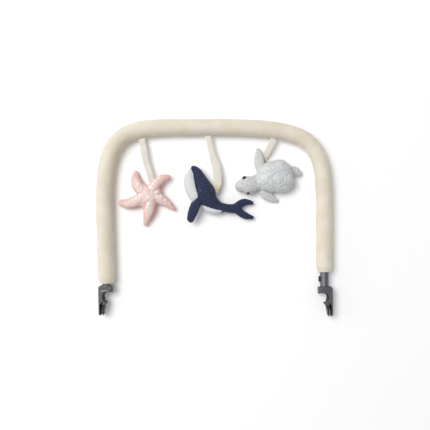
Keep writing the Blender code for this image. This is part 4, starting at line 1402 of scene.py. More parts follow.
@dataclass
class FrameClip:
    """One moulded clip with a dark sheet of painted shade in its notch, lever, pin, springs and snap button.
    Lengths in millimetres.

    Across runs to the inside of the arch, and up along the tube, both from the middle of the tube's end.
    """

    side: Side
    low: float = 7.0
    high: float = 25.0
    reach: float = 8.6
    back: float = -15.3
    spine_face: float = -10.6
    length: float = 56.8
    shoulder: float = 4.6
    toe: float = 4.0
    jaw_down: float = 13.0
    jaw_round: float = 2.0
    notch: Place = (3.7, -22.1)
    notch_radius: float = 9.35
    # The thickness of the dark sheet on the notch's wall, painted shade
    shade_sheet: float = 1.3
    pin: Place = (-3.6, -33.4)
    knuckle: float = 3.0
    clearance: float = 0.5
    lug: float = 3.8
    cap_gap: float = 0.3
    spigot_radius: float = 6.45
    spigot_wall: float = 1.8
    spigot_length: float = 34.0
    button_up: float = 13.5
    button_size: tuple[float, float] = (12.1, 7.6)
    coil_ends: tuple[float, float] = (-4.4, 2.0)
    coil_radius: float = 2.4
    coil_wire: float = 0.22
    coil_turns: float = 3.5
    coil_kept: float = 0.3
    knuckle_between: tuple[float, float] = (10.5, 21.5)
    stem_between: tuple[float, float] = (8.2, 23.8)
    stem_start: float = 4.5
    # The ribs that a thumb finds on the lever's face
    rib_height: float = 0.2
    rib_pitch: float = 1.9
    edge: float = 1.5
    # Outlines of the upper jaw's end, the cap's pad and its band: across and up
    jaw_end: Rows = ((1.5, -1), (12.4, -1), (12.4, -14.3), (9.3, -14.3), (7.4, -12.7), (1.5, -12.4))
    cap_pad: Rows = ((-12.6, -7.4), (6.2, -7.4), (6.2, -1.6), (-12.6, -1.6))
    cap_band: Rows = ((-12.9, -8.2), (6.6, -8.2), (6.6, -11.9), (-12.9, -11.9))

    def spread(self, local: Array) -> Array:
        """Turns local places into the shared frame: the left clip leans with its leg, the right mirrors it.

        Args:
            local: across and up, millimetres.

        Returns:
            places in plan, metres.
        """
        if self.side is Side.RIGHT:
            return local * np.array([-1.0, 1.0]) * MM + np.array(RIGHT_END)
        lean = math.radians(LEFT_LEAN)
        turned = local @ np.array([[math.cos(lean), math.sin(lean)], [-math.sin(lean), math.cos(lean)]])
        return turned * MM + np.array(LEFT_END)

    def moulded(
        self, part: str, outline: Array, low: float, high: float, edge: float, passes: int = 3
    ) -> Piece:
        """A plate of this clip from a local outline that runs anticlockwise on the left clip.

        Args:
            part: its name, without the side.
            outline: across and up, millimetres.
            low: the height of its underside, millimetres.
            high: the height of its top, millimetres.
            edge: the radius of its edges, millimetres.
            passes: how round its corners are.

        Returns:
            the object.
        """
        even = self.spread(softened(np.array(outline), 0.45, passes))
        if self.side is Side.RIGHT:
            even = even[::-1]
        return plate(f"{part}_{self.side.value}", even, low * MM, high * MM, edge * MM)

    def body_outline(self) -> Array:
        """Cap, spine with a rounded toe, the round over the lever's knuckle, and the notch back to the jaw.

        Returns:
            its points, anticlockwise.
        """
        gap, shoulder, toe, face = self.cap_gap, self.shoulder, self.toe, self.spine_face
        jaw = arc((self.reach - self.jaw_round, self.jaw_round - self.jaw_down), self.jaw_round, -90, 0)
        crown = arc((self.reach - shoulder, -shoulder - gap), shoulder, 0, 90)
        nape = arc((self.back + 0.6 + shoulder, -shoulder - gap), shoulder, 90, 180)
        heel = arc((self.back + toe, toe - self.length), toe, 180, 262)
        inner = np.array([[face - 0.8, -self.length], [face, 1.5 - self.length], [face, self.pin[1] - 3]])
        over = arc(self.pin, self.knuckle + self.clearance, 180, 114)
        wall = arc(self.notch, self.notch_radius + self.shade_sheet, 215, 102, 20)
        lip = arc(self.notch, self.notch_radius, 96, 77, 6)
        return np.vstack([jaw, crown, nape, heel, inner, over, wall, lip])

    def lug_outline(self) -> Array:
        """An ear from the spine round the pin."""
        arm, up = self.back + 2, self.pin[1]
        return np.vstack([[[arm, up + 5.0], [arm, up - 3.6]], arc(self.pin, self.knuckle + 0.2, -80, 80, 15)])

    def shade_sheet_outline(self) -> Array:
        """A dark strip on the notch's wall, painted shade: an arc at the wall and one at the notch's radius.
        """
        near, far = self.notch_radius, self.notch_radius + self.shade_sheet + 0.1
        return np.vstack([arc(self.notch, near, 217, 104, 26), arc(self.notch, far, 106, 213, 26)])

    def lever_outline(self, stem_from: float | None = None) -> Array:
        """Lip on the notch's circle, ribbed face down to the toe, hollow back and knuckle round the pin.

        Args:
            stem_from: how far below the pin the stem starts, for the wide stem alone, millimetres.

        Returns:
            its points, anticlockwise.
        """
        pin = np.array(self.pin)
        lip = arc(self.notch, self.notch_radius, 230, 256, 9)
        front = (
            (3.1, -0.2), (2.3, -2.5), (0.4, -5.0), (-1.1, -8.2), (-1.9, -12.5), (-2.1, -19), (-2.8, -22.9),
        )
        face = through(np.vstack([lip[-1:] + np.array([[0.1, -1.1]]), pin + np.array(front)]), 60)
        down = pin[1] - face[:, 1]
        ribbed = smoothstep(down, 8, 9.5) * (1 - smoothstep(down, 20, 21.5))
        face[:, 0] += self.rib_height * np.sin(down * 2 * math.pi / self.rib_pitch) * ribbed
        rear = pin + np.array([[-4.0, -23.4], [-4.4, -22.5], [-4.3, -18], [-3.9, -11], [-3.0, -5.0]])
        if stem_from is None:
            return np.vstack([lip, face, rear, arc(self.pin, self.knuckle, 235, 95, 12)])[::-1]
        top = pin[1] - stem_from
        return np.vstack([face[face[:, 1] < top], rear[rear[:, 1] < top], [[pin[0] - 2.8, top]]])[::-1]

    def rounded(self, part: str, outline: Rows, low: float, high: float, squareness: float) -> Piece:
        """A pillow over an outline: scaled by sin(a)^q about its middle, cos(a)^q from the mid-plane.

        Args:
            part: its name, without the side.
            outline: across and up, millimetres.
            low: the height of its underside, millimetres.
            high: the height of its top, millimetres.
            squareness: the power q; 1 gives an ellipse, less gives flatter faces.

        Returns:
            the object.
        """
        even = self.spread(softened(np.array(outline), 0.45, 6))
        middle = (even.max(axis=0) + even.min(axis=0)) / 2
        swing = np.linspace(0.05, math.pi - 0.05, 33)
        share = np.sin(swing) ** squareness
        lift = np.sign(np.cos(swing)) * np.abs(np.cos(swing)) ** squareness
        flat = middle + share[:, None, None] * (even - middle)[None]
        height = ((low + high) / 2 - (high - low) / 2 * lift) * MM
        return grid_piece(f"{part}_{self.side.value}", standing(flat, height))

    def coil(self) -> Piece:
        """The button's coil spring, pressed flat with the button: a wire along a helix.

        Returns:
            the dressed piece.
        """
        ends = self.spread(np.array([[across, self.button_up] for across in self.coil_ends]))
        start, stop = np.hstack([ends, np.full((2, 1), BAR_HEIGHT)])
        heading = unit(stop - start)
        up = np.array([0.0, 0.0, 1.0])
        swing = np.linspace(0, 2 * math.pi * self.coil_turns, 130)[:, None]
        radial = np.cos(swing) * np.cross(up, heading) + np.sin(swing) * up
        wire = self.coil_wire * MM
        inset = heading * wire
        travel = (stop - start - 2 * inset) * swing / swing[-1]
        middle = start + inset + travel + radial * self.coil_radius * MM
        across = np.cross(tangents(middle), radial)
        turn = turns(12)[None, :, None]
        ring = radial[:, None] * np.cos(turn) + across[:, None] * np.sin(turn)
        side = self.side.value
        piece = grid_piece(f"button_coil_{side}", middle[:, None] + ring * wire)
        dress(piece, SPRING_METAL, "bar", "spring_steel", (f"button_spring_{side}",))
        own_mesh(piece)
        return piece

    def cross_grid(self, radius: float, bottom: float, top: float) -> Array:
        """Rings of a round bar that stands in the tube.

        Args:
            radius: the bar's, millimetres.
            bottom: where it starts, up along the tube.
            top: where it ends.

        Returns:
            the grid of points.
        """
        ends = self.spread(np.array([[0.0, bottom], [0.0, top]]))
        path = np.hstack([ends, np.full((2, 1), BAR_HEIGHT)])
        path = at_distances(path, np.linspace(0, along(path)[-1], 30))
        return tube_grid(path, np.full(len(path), radius * MM), 40)

    def button_cutter(self) -> Piece:
        """An oblong bar from inside the tube out through its inner wall, where the button comes through.

        Returns:
            the object.
        """
        length, width = self.button_size
        ends = length / 2 - width / 2
        oblong = np.vstack([arc((0, ends), width / 2, 0, 180, 17), arc((0, -ends), width / 2, 180, 360, 17)])
        corners = []
        for across in (2.0, 12.0):
            flat = self.spread(np.stack([np.full(len(oblong), across), self.button_up + oblong[:, 1]], 1))
            corners.append(np.hstack([flat, BAR_HEIGHT + oblong[:, :1] * MM]))
        return grid_piece(f"button_hole_{self.side.value}", np.array(corners))

    def spigot(self) -> Piece:
        """The hollow spigot that fills the tube's end, drilled for the button.

        Returns:
            the object.
        """
        radii = self.spigot_radius, self.spigot_radius - self.spigot_wall
        outer, inner = (self.cross_grid(radius, -1.0, self.spigot_length) for radius in radii)
        rings = np.concatenate([outer, inner[::-1]])
        return drilled(grid_piece(f"spigot_{self.side.value}", rings, Ends.JOINED), self.button_cutter())

    def build(self) -> None:
        """Moulds the body, the dark notch sheet of painted shade and the lever, and dresses the metal parts
        and the button.
        """
        name, low, high = self.side.value, self.low, self.high
        # The left clip's band is painted paler: a painted highlight; the right one is plain clip plastic
        band = self.rounded("cap_band", self.cap_band, low - 0.6, high + 0.7, 0.5)
        dress(band, CAP_HIGHLIGHT_PLASTIC if self.side is Side.LEFT else CLIP_PLASTIC, "bar", "clip_plastic")
        parts = [
            self.moulded("body", self.body_outline(), low, high, self.edge),
            self.rounded("jaw_end", self.jaw_end, low + 0.2, high + 0.2, 0.62),
            self.moulded("cap_pad", self.cap_pad, low - 0.4, high + 0.4, 0.9, 6),
            self.moulded("lug_low", self.lug_outline(), low + 0.1, low + self.lug - 0.6, 0.6),
            self.moulded("lug_high", self.lug_outline(), high - self.lug + 0.6, high - 0.1, 0.6),
            self.spigot(),
        ]
        body = joined(f"clip_moulding_{name}", parts)
        dress(body, CLIP_PLASTIC, "bar", "clip_plastic", (f"clip_body_{name}",))
        # A dark sheet on the notch's wall: painted shade
        shade_sheet = self.moulded("notch_shade_sheet", self.shade_sheet_outline(), low - 0.1, high + 0.15, 0.35, 1)
        dress(shade_sheet, NOTCH_SHADE_SHEET, "bar", "lever_plastic")
        plates = [
            self.moulded("lever_knuckle", self.lever_outline(), *self.knuckle_between, 0.45, 1),
            self.moulded("lever_stem", self.lever_outline(self.stem_start), *self.stem_between, 0.6, 1),
        ]
        lever = joined(f"lever_moulding_{name}", plates)
        dress(lever, LEVER_PLASTIC, f"lever_{name}", "lever_plastic", (f"release_lever_{name}",))
        dress_node(f"release_button_{name}", BUTTON_PLASTIC)
        dress_node(f"lever_pin_{name}", PIN_METAL)
        dress_node(f"lever_spring_{name}", SPRING_METAL)
        self.coil()


# Ribbons


@dataclass
class Ribbon:
    """A folded ribbon from the cover's seam to a toy: a short sewn tab, then the free length."""

    toy: str
    route: Rows
    widths: tuple[float, ...]
    tab: float = 0.0092
    # How far the tab is rooted in the cover
    root: float = 0.0024
    # Where the tab would bend, from the seam, and how much of the free length would take the turn; neither is
    # used
    seam_zone: tuple[float, float] = (-0.0012, 0.0050)
    turn_zone: float = 0.045
    thickness: float = 0.0016
    ripple: float = 0.0004
    ripple_pitch: float = 0.034
    # How far the middle stands up, and how far from the toy the cloth turns tan
    crease: float = 0.0
    tan_end: float = 0.0

    def build(self) -> None:
        """Makes the tab and the free length, paints them, keeps how tan each is towards the toy and bakes
        them in place.
        """
        path = through(np.array(self.route, float), 240) * MM
        total = along(path)[-1]
        heading = tangents(path)[:1]
        rooted = np.vstack([path[:1] - heading * self.root, path])
        tab_path = at_distances(rooted, np.linspace(0, self.tab + self.root, 24))
        tab = self.band(f"{self.toy}_ribbon_tab", tab_path, total, 0.0)
        free_path = at_distances(path, np.linspace(self.tab, total, 150))
        free = self.band(f"{self.toy}_ribbon", free_path, total, self.tab)
        link = f"{self.toy}_link"
        bend = path[0] + heading * np.array(self.seam_zone)[:, None]
        turn = at_distances(path, np.array([self.tab, self.tab + self.turn_zone]))
        for piece, bodies, (start, end), node, length in (
            (tab, ("bar", link), bend.tolist(), f"{self.toy}_strap_tab", self.tab + self.root),
            (free, (link, self.toy), turn.tolist(), f"{self.toy}_strap", total - self.tab),
        ):
            paint(piece, RibbonFinish())
            away = np.linalg.norm(points_of(piece) - path[-1], axis=1)
            tanned = 1 - smoothstep(away, 0.25 * self.tan_end, self.tan_end) if self.tan_end else 0 * away
            write_field(piece, "tanned", tanned)
            settle_names(piece, "strap_ribbon", (node,))
            float(self.dense_widths().mean())
            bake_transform(piece)

    def dense_widths(self) -> Array:
        """The width along the ribbon in metres: a smooth curve through its widths."""
        return through(np.array(self.widths, float)[:, None], 200)[:, 0] * MM

    def band(self, name: str, path: Array, total: float, offset: float) -> Piece:
        """A flat band along a path: a rounded oblong section, lifted a little along its middle crease.

        Args:
            name: the piece's name.
            path: the band's middle line.
            total: the whole ribbon's length.
            offset: the distance from the seam at the path's start.

        Returns:
            the object, with the place across it kept as a field.
        """
        where, widths = along(path) + offset, self.dense_widths()
        width = np.interp(where / total, np.linspace(0, 1, len(widths)), widths)
        turn = turns(40)
        wide = np.sign(np.cos(turn)) * np.abs(np.cos(turn)) ** 0.35
        thick = np.sign(np.sin(turn)) * np.abs(np.sin(turn)) ** 0.8
        ripple = self.ripple * np.sin(where * 2 * math.pi / self.ripple_pitch + 0.5)
        lift = self.crease * (1 - np.abs(wide))[None] + ripple[:, None] * wide[None]
        height = thick[None] * self.thickness / 2 + lift
        grid = path[:, None] + inward(path)[:, None] * (wide[None] * width[:, None] / 2)[..., None]
        piece = grid_piece(name, grid + np.array([0, 0, 1.0]) * height[..., None])
        write_field(piece, "across", np.concatenate([np.tile(wide, len(path)), [0.0, 0.0]]))
        return piece


# The toys


@dataclass
class Starfish:
    """A five-armed stuffed starfish with raised spots, on the body named star."""

    centre: Place = (-0.1252, 0.04281)
    voxel: float = 0.00125
    # How far the filling may move the skin, how deep seam and creases are and how high the spots
    filling: float = 0.0012
    seam_sunk: float = 0.00045
    crease_sunk: float = 0.0009
    spot_height: float = 0.0007
    pucker_pitch: float = 0.0045
    middle: Limb = Limb(
        (
            (-8.5, -7.5, 12.5, 18.0), (-1.9, -2.5, 12.5, 23.8), (3.8, 0.5, 12.5, 22.8),
            (8.2, 3.0, 12.5, 17.3),
        ),
        0.5,
    )
    arms: dict[str, Limb] = field(default_factory=lambda: {
        "star_arm_top_left": Limb(
            (
                (-7.6, 5.7, 12, 11.3), (-20.5, 16, 12, 11.5), (-25.4, 29, 10.6, 9.6), (-26, 43.8, 8.8, 4.4),
            ),
            0.85,
        ),
        "star_arm_top_right": Limb(
            (
                (5.7, 8, 12, 11.5), (14.5, 21.5, 12.5, 11.2), (25, 31.2, 13, 8.6), (37.2, 35.4, 13, 4.6),
            ),
            0.85,
        ),
        "star_arm_right": Limb(
            (
                (9.4, -3.8, 12, 11.3), (21.5, -8, 12, 11.4), (33.8, -15.6, 10.6, 8.6),
                (48.4, -27.2, 8.4, 3.6),
            ),
            0.85,
        ),
        "star_arm_bottom": Limb(
            (
                (0.9, -9.4, 12, 11.3), (1.8, -22.7, 12, 12.4), (-1.9, -39.1, 11, 9.8),
                (-7.4, -57.2, 8.4, 4.4),
            ),
            0.85,
        ),
        "star_arm_left": Limb(
            (
                (-9.5, -3.8, 12, 11.3), (-24, -12, 12, 12), (-40.3, -17.0, 11, 9.9),
                (-54.2, -15.4, 9.1, 7.0),
            ),
            0.85,
        ),
    })
    # Spots: across and up from the centre and half the width, millimetres
    spots: Rows = (
        (-20.5, 21.2, 2.7), (-13.8, 14.1, 2.3), (-13.8, 9.5, 1.9), (-19.7, 6.3, 2.2), (-16.3, -0.8, 3.1),
        (-23.9, -5.7, 2.6), (-30.8, -9.5, 2.3), (-0.7, -5.3, 2.6), (-0.3, -17.0, 2.9), (-2.2, -24.4, 2.5),
        (-4.0, -31.1, 2.1), (2.8, 14.5, 3.1), (8.5, 20.8, 2.6), (14.2, 26.5, 2.5), (19.3, 32.0, 2.3),
        (15.5, 4.9, 2.8), (23.7, -2.9, 2.6), (32.1, -10.0, 2.6), (39.9, -15.3, 2.1), (30.8, -17.8, 2.0),
        (-24.6, 29.0, 2.1), (-38.5, -12.9, 1.9), (-6.2, -38.5, 1.7), (6.2, 4.6, 2.2),
    )
    # The skin is painted a deeper pink where it faces this way, to the right, down the picture and under,
    # away from the light: painted shade
    star_shade_way: Way = (0.76, -0.36, -0.54)
    body: str = "star"

    def build(self) -> Piece:
        """Sews the middle and the arms into one skin, fills it, and adds the seam, creases and spots.

        Returns:
            the dressed piece.
        """
        limbs = [self.middle, *self.arms.values()]
        grids = [limb.grid(self.centre) for limb in limbs]
        skin = filled_skin("starfish", grids, self.voxel, 5, self.filling)
        points, facing = points_of(skin), normals_of(skin)
        off_seam = points[:, 2] - nearest_level(points, limbs, self.centre)
        crease, (spot, boldness) = hollowness(skin, 14), self.spots_at(points, facing)
        from_centre = np.linalg.norm(points[:, :2] - np.array(self.centre), axis=1)
        pucker = 1 + 0.5 * np.sin(from_centre * 2 * math.pi / self.pucker_pitch)
        seam = bump_at(off_seam, 0, 0.0008) * pucker
        moved = self.spot_height * spot - self.seam_sunk * seam - self.crease_sunk * crease
        moved += 0.0002 * unevenness(points, 0.009, 3)
        put_points(skin, points + facing * moved[:, None])
        # Painted shade: deeper pink on the flanks by the seam, on the side that faces away from the light and
        # in the creases
        under = smoothstep(facing @ self.star_shade_way, 0.0, 0.6)
        side = np.clip(1 - np.abs(off_seam) / 0.0105, 0, 1)
        write_field(skin, "side", np.clip(0.5 * side + 0.45 * under, 0, 1))
        write_field(skin, "crease", crease)
        write_field(skin, "spot", spot * boldness)
        dress(skin, StarPlush(), self.body, "star_plush", ("star_body", *self.arms))
        return skin

    def spots_at(self, points: Array, facing: Array) -> tuple[Array, Array]:
        """The spots, which fade at their rims and lie on the top and the underside alike.

        Args:
            points: places on the skin.
            facing: the skin's normals.

        Returns:
            1 in a spot and 0 between, and how bold the nearest spot is, the large ones most.
        """
        spots = np.array(self.spots) * MM
        centres, half = spots[:, :2] + np.array(self.centre), spots[:, 2]
        away = np.linalg.norm(points[:, None, :2] - centres[None], axis=2) / half[None]
        boldness = np.clip((half / half.max()) ** 2 + 0.1, 0, 1)[away.argmin(axis=1)]
        return (1 - smoothstep(away.min(axis=1), 0.75, 1.15)) * (np.abs(facing[:, 2]) > 0.35), boldness


@dataclass
class Whale:
    """A stuffed whale: navy back and flukes, ribbed white belly, two fins and stitched eyes."""

    centre: Place = (0.00135, 0.0521)
    voxel: float = 0.0014
    fin_voxel: float = 0.0011
    # How far the filling may move the skin and the fins
    filling: float = 0.0010
    fin_filling: float = 0.0005
    # How deep the ribs, the border of the cloths, the creases, the flat seam and the fins' seam are
    rib_sunk: float = 0.00036
    border_sunk: float = 0.0005
    crease_sunk: float = 0.0005
    seam_sunk: float = 0.0003
    fin_seam_sunk: float = 0.0004
    back: Limb = Limb(
        (
            (-41.2, 44.0, 17, 4.0), (-33.4, 35.5, 17, 8.0), (-27, 19.2, 17, 12.9), (-22.2, 4.1, 17, 18.9),
            (-17.2, -8.6, 17, 20.2), (-8.6, -20.6, 17, 15.6), (2.7, -28.9, 17, 10.9),
        ),
        0.81,
    )
    brow: Limb = Limb(((-45.4, 45.0, 17, 1.9), (-41.5, 44.8, 17, 2.8), (-36.5, 42.0, 17, 4.8)), 0.92)
    tail: Limb = Limb(
        (
            (-4.1, -25, 17, 11.0), (11, -32.2, 16.3, 9.2), (25.3, -35.3, 14.3, 9.1), (37, -35.9, 12.9, 9.2),
            (45.2, -35.1, 12.2, 7.6),
        ),
        0.92,
    )
    upper: Limb = Limb(
        (
            (38.4, -32.9, 12.2, 6.2), (47, -27.8, 11.6, 7.8), (57.5, -23.4, 10.9, 7.2),
            (71.2, -24.3, 10.4, 4.2),
        ),
        0.66,
    )
    lower: Limb = Limb(
        (
            (38.4, -37, 12.2, 6.2), (48, -43, 11.6, 7.4), (58.9, -49.4, 10.9, 7.2),
            (71.6, -52.8, 10.4, 4.3),
        ),
        0.66,
    )
    belly: Limb = Limb(
        (
            (-47.3, 40, 17, 2.7), (-48.2, 29.5, 17, 9.3), (-48.2, 17.1, 17, 12.9), (-44.1, 2.1, 17, 14.3),
            (-38, -11, 17, 13.6),
        ),
        0.92,
    )
    rear: Limb = Limb(
        (
            (-23.3, -29.5, 17, 5.5), (-11, -37, 16.3, 8.2), (4.1, -40, 15.6, 7.5), (16.4, -39.7, 15, 4.1),
        ),
        0.92,
    )
    fin_near: Limb = Limb(
        (
            (-26, -16.4, 24.5, 6.8), (-34.8, -27.2, 27.2, 8.7), (-41, -41.5, 25.8, 9.1),
            (-46.6, -56.2, 22.8, 6.6),
        ),
        0.52,
    )
    fin_far: Limb = Limb(
        (
            (-28.1, -15.8, 9.5, 6.2), (-38.6, -26, 6.8, 7.7), (-45.9, -41.8, 6.8, 7.1),
            (-51.4, -55.5, 6.8, 4.1),
        ),
        0.52,
    )
    # How deep each white panel is tucked under the navy one, millimetres
    tucked: tuple[float, float] = (3.4, 3.6)
    rib_pitch: float = 0.0040
    seam_height: float = 0.0165
    # An eye's place and its dark oval: how far up it lies, half its length and width, how proud it stands
    eye: Place = (-27.3, -0.2)
    dark_up: float = 0.9
    dark_half: tuple[float, float] = (2.2, 1.5)
    dark_height: float = 0.0005
    # The stitched lid: how far up its middle lies, half its length and its depth, its stitches
    lid_up: float = 0.6
    lid_half: tuple[float, float] = (3.1, 2.4)
    lid_stitch: Stitch = (0.0018, 0.0003, 0.0004)
    body: str = "whale"

    def build(self) -> None:
        """Makes the skin, the two fins and the eyes."""
        skin = self.skin()
        self.fin("whale_near_fin", self.fin_near, "whale_fin_near", 5)
        self.fin("whale_far_fin", self.fin_far, "whale_fin_far", 6)
        self.eyes(skin)

    def skin(self) -> Piece:
        """Sews back, tail, flukes and belly into one skin, fills it, and adds ribs, border and seams.

        Returns:
            the dressed piece.
        """
        navy, white = (self.back, self.brow, self.tail, self.upper, self.lower), (self.belly, self.rear)
        grids = [limb.grid(self.centre) for limb in (*navy, *white)]
        skin = filled_skin("whale_body_skin", grids, self.voxel, 6, self.filling)
        points, facing = points_of(skin), normals_of(skin)
        ragged = 0.0006 * unevenness(points, 0.0045, 21) + 0.0008 * unevenness(points, 0.010, 22)
        panel = self.gap_to(points, white, self.tucked) - self.gap_to(points, navy) + ragged
        on_belly = 1 - smoothstep(panel, -0.0008, 0.0004)
        groove, border = self.ribs(points) * on_belly, bump_at(panel, 0, 0.0009)
        crease = hollowness(skin, 12)
        flat_seam = bump_at(points[:, 2] - self.seam_height, 0, 0.0007) * (1 - on_belly)
        moved = 0.00022 * unevenness(points, 0.008, 13) - self.rib_sunk * groove - self.border_sunk * border
        moved -= self.crease_sunk * crease + self.seam_sunk * flat_seam
        put_points(skin, points + facing * moved[:, None])
        write_field(skin, "panel", panel)
        # Painted shade: the rib grooves are painted grey, and the border between the cloths too
        write_field(skin, "groove", np.clip(groove + 0.6 * border, 0, 1))
        flukes = ("whale_fluke_upper", "whale_fluke_lower")
        nodes = ("whale_body", "whale_tail", *flukes, "whale_belly", "whale_belly_rear")
        dress(skin, WhaleCloth(), self.body, "whale_navy", nodes)
        return skin

    def gap_to(
        self, points: Array, limbs: tuple[Limb, ...], tucked: tuple[float, ...] | None = None
    ) -> Array:
        """How far places are in plan from the edge of the nearest of several forms.

        Args:
            points: places on the skin.
            limbs: the forms.
            tucked: how much of each form's edge is hidden, millimetres; none if not given.

        Returns:
            one distance a place, below 0 inside.
        """
        gaps = [plan_distance(points, limb.spine(self.centre, 30))[0] for limb in limbs]
        hidden = np.array(tucked or (0.0,) * len(limbs)) * MM
        return np.min(np.array(gaps) + hidden[:, None], axis=0)

    def ribs(self, points: Array) -> Array:
        """Grooves along the belly: the offset from the belly's spine repeats at the rib pitch.

        Args:
            points: places on the skin.

        Returns:
            1 in a groove, 0 between.
        """
        spine = self.belly.spine(self.centre, 60)
        _, row = plan_distance(points, spine)
        heading = tangents(spine[:, :3])[row]
        off = np.cross(heading[:, :2], points[:, :2] - spine[row, :2])
        return np.abs(np.cos(off / self.rib_pitch * math.pi)) ** 8

    def fin(self, name: str, limb: Limb, node: str, seed: int) -> Piece:
        """A flat stuffed fin with a seam round its edge.

        Args:
            name: the piece's name.
            limb: its form.
            node: the CAD node it stands for.
            seed: for its unevenness.

        Returns:
            the dressed piece.
        """
        fin = filled_skin(name, [limb.grid(self.centre)], self.fin_voxel, 2, self.fin_filling)
        points, facing = points_of(fin), normals_of(fin)
        seam = bump_at(points[:, 2] - nearest_level(points, [limb], self.centre, 30), 0, 0.0006)
        moved = 0.00022 * unevenness(points, 0.008, seed) - self.fin_seam_sunk * seam
        put_points(fin, points + facing * moved[:, None])
        # Well past the border of the navy cloth
        write_field(fin, "panel", np.full(len(points), 0.01))
        write_field(fin, "groove", seam)
        dress(fin, WhaleCloth(), self.body, "whale_navy", (node,))
        return fin

    def eyes(self, skin: Piece) -> None:
        """Embroidered eyes on both cheeks: a dark oval over a few tan stitches, laid on the skin.

        Args:
            skin: the finished skin.
        """
        ground = Ground(skin)
        at = np.array(self.eye) * MM + np.array(self.centre)
        dark_at = at + np.array([0, self.dark_up]) * MM
        half = tuple(size * MM for size in self.dark_half)
        sweep = np.linspace(math.pi * 1.05, math.pi * 1.95, 24)
        oval = np.stack([np.cos(sweep), np.sin(sweep)], 1) * np.array(self.lid_half)
        rim = at + (np.array([0, self.lid_up]) + oval) * MM
        for top, side in ((True, "upper"), (False, "lower")):
            dark = ground.patch(f"whale_eye_{side}", dark_at, half, self.dark_height, top)
            dress(dark, BLACK_THREAD, self.body, "whale_navy")
            path, facing = ground.lay(rim, top)
            lid = stitch_piece(f"whale_eyelid_{side}", path, facing, *self.lid_stitch)
            dress(lid, TAN_THREAD, self.body, "whale_navy")


class Ground:
    """A finished skin on which small sewn details are laid."""

    def __init__(self, piece: Piece) -> None:
        """Reads the skin once.

        Args:
            piece: the skin.
        """
        points = [tuple(p) for p in points_of(piece).tolist()]
        self.tree = BVHTree.FromPolygons(points, [tuple(p.vertices) for p in piece.data.polygons])

    def lay(self, flat: Array, top: bool) -> tuple[Array, Array]:
        """Drops plan points on the skin from above, or lifts them to it from below.

        Args:
            flat: x and y of each point, metres.
            top: whether they land on the top.

        Returns:
            the points on the skin and the skin's normals.
        """
        start, way = (0.2, Vector((0, 0, -1))) if top else (-0.2, Vector((0, 0, 1)))
        hits = [self.tree.ray_cast(Vector((x, y, start)), way)[:2] for x, y in flat.tolist()]
        sign = 1 if top else -1
        places = np.array([p or (x, y, BAR_HEIGHT) for (p, _), (x, y) in zip(hits, flat.tolist())])
        facing = np.array([n or (0, 0, sign) for _, n in hits], float)
        facing *= np.sign(facing[:, 2:] * sign + 1e-9)
        return places, facing

    def patch(self, name: str, middle: Array, half: tuple[float, float], height: float, top: bool) -> Piece:
        """A padded oval on the skin: rings out from the middle, raised by height times the root of 1 - r^2.

        Args:
            name: the piece's name.
            middle: its place in plan.
            half: half its length and half its width.
            height: how proud it stands.
            top: whether it is on the top.

        Returns:
            the object.
        """
        rings, sides = 9, 28
        share, swing = np.linspace(0.04, 1.0, rings)[:, None], turns(sides)[None]
        flat = np.stack([share * np.cos(swing) * half[0], share * np.sin(swing) * half[1]], -1)
        places, facing = self.lay(flat.reshape(-1, 2) + middle, top)
        lift = np.repeat(height * np.sqrt(np.maximum(1 - share**2, 0)), sides) - 0.0001
        upper = (places + facing * lift[:, None]).reshape(rings, sides, 3)
        base = (places - facing * 0.0006).reshape(rings, sides, 3)[::-1]
        return grid_piece(name, np.concatenate([upper, base]))


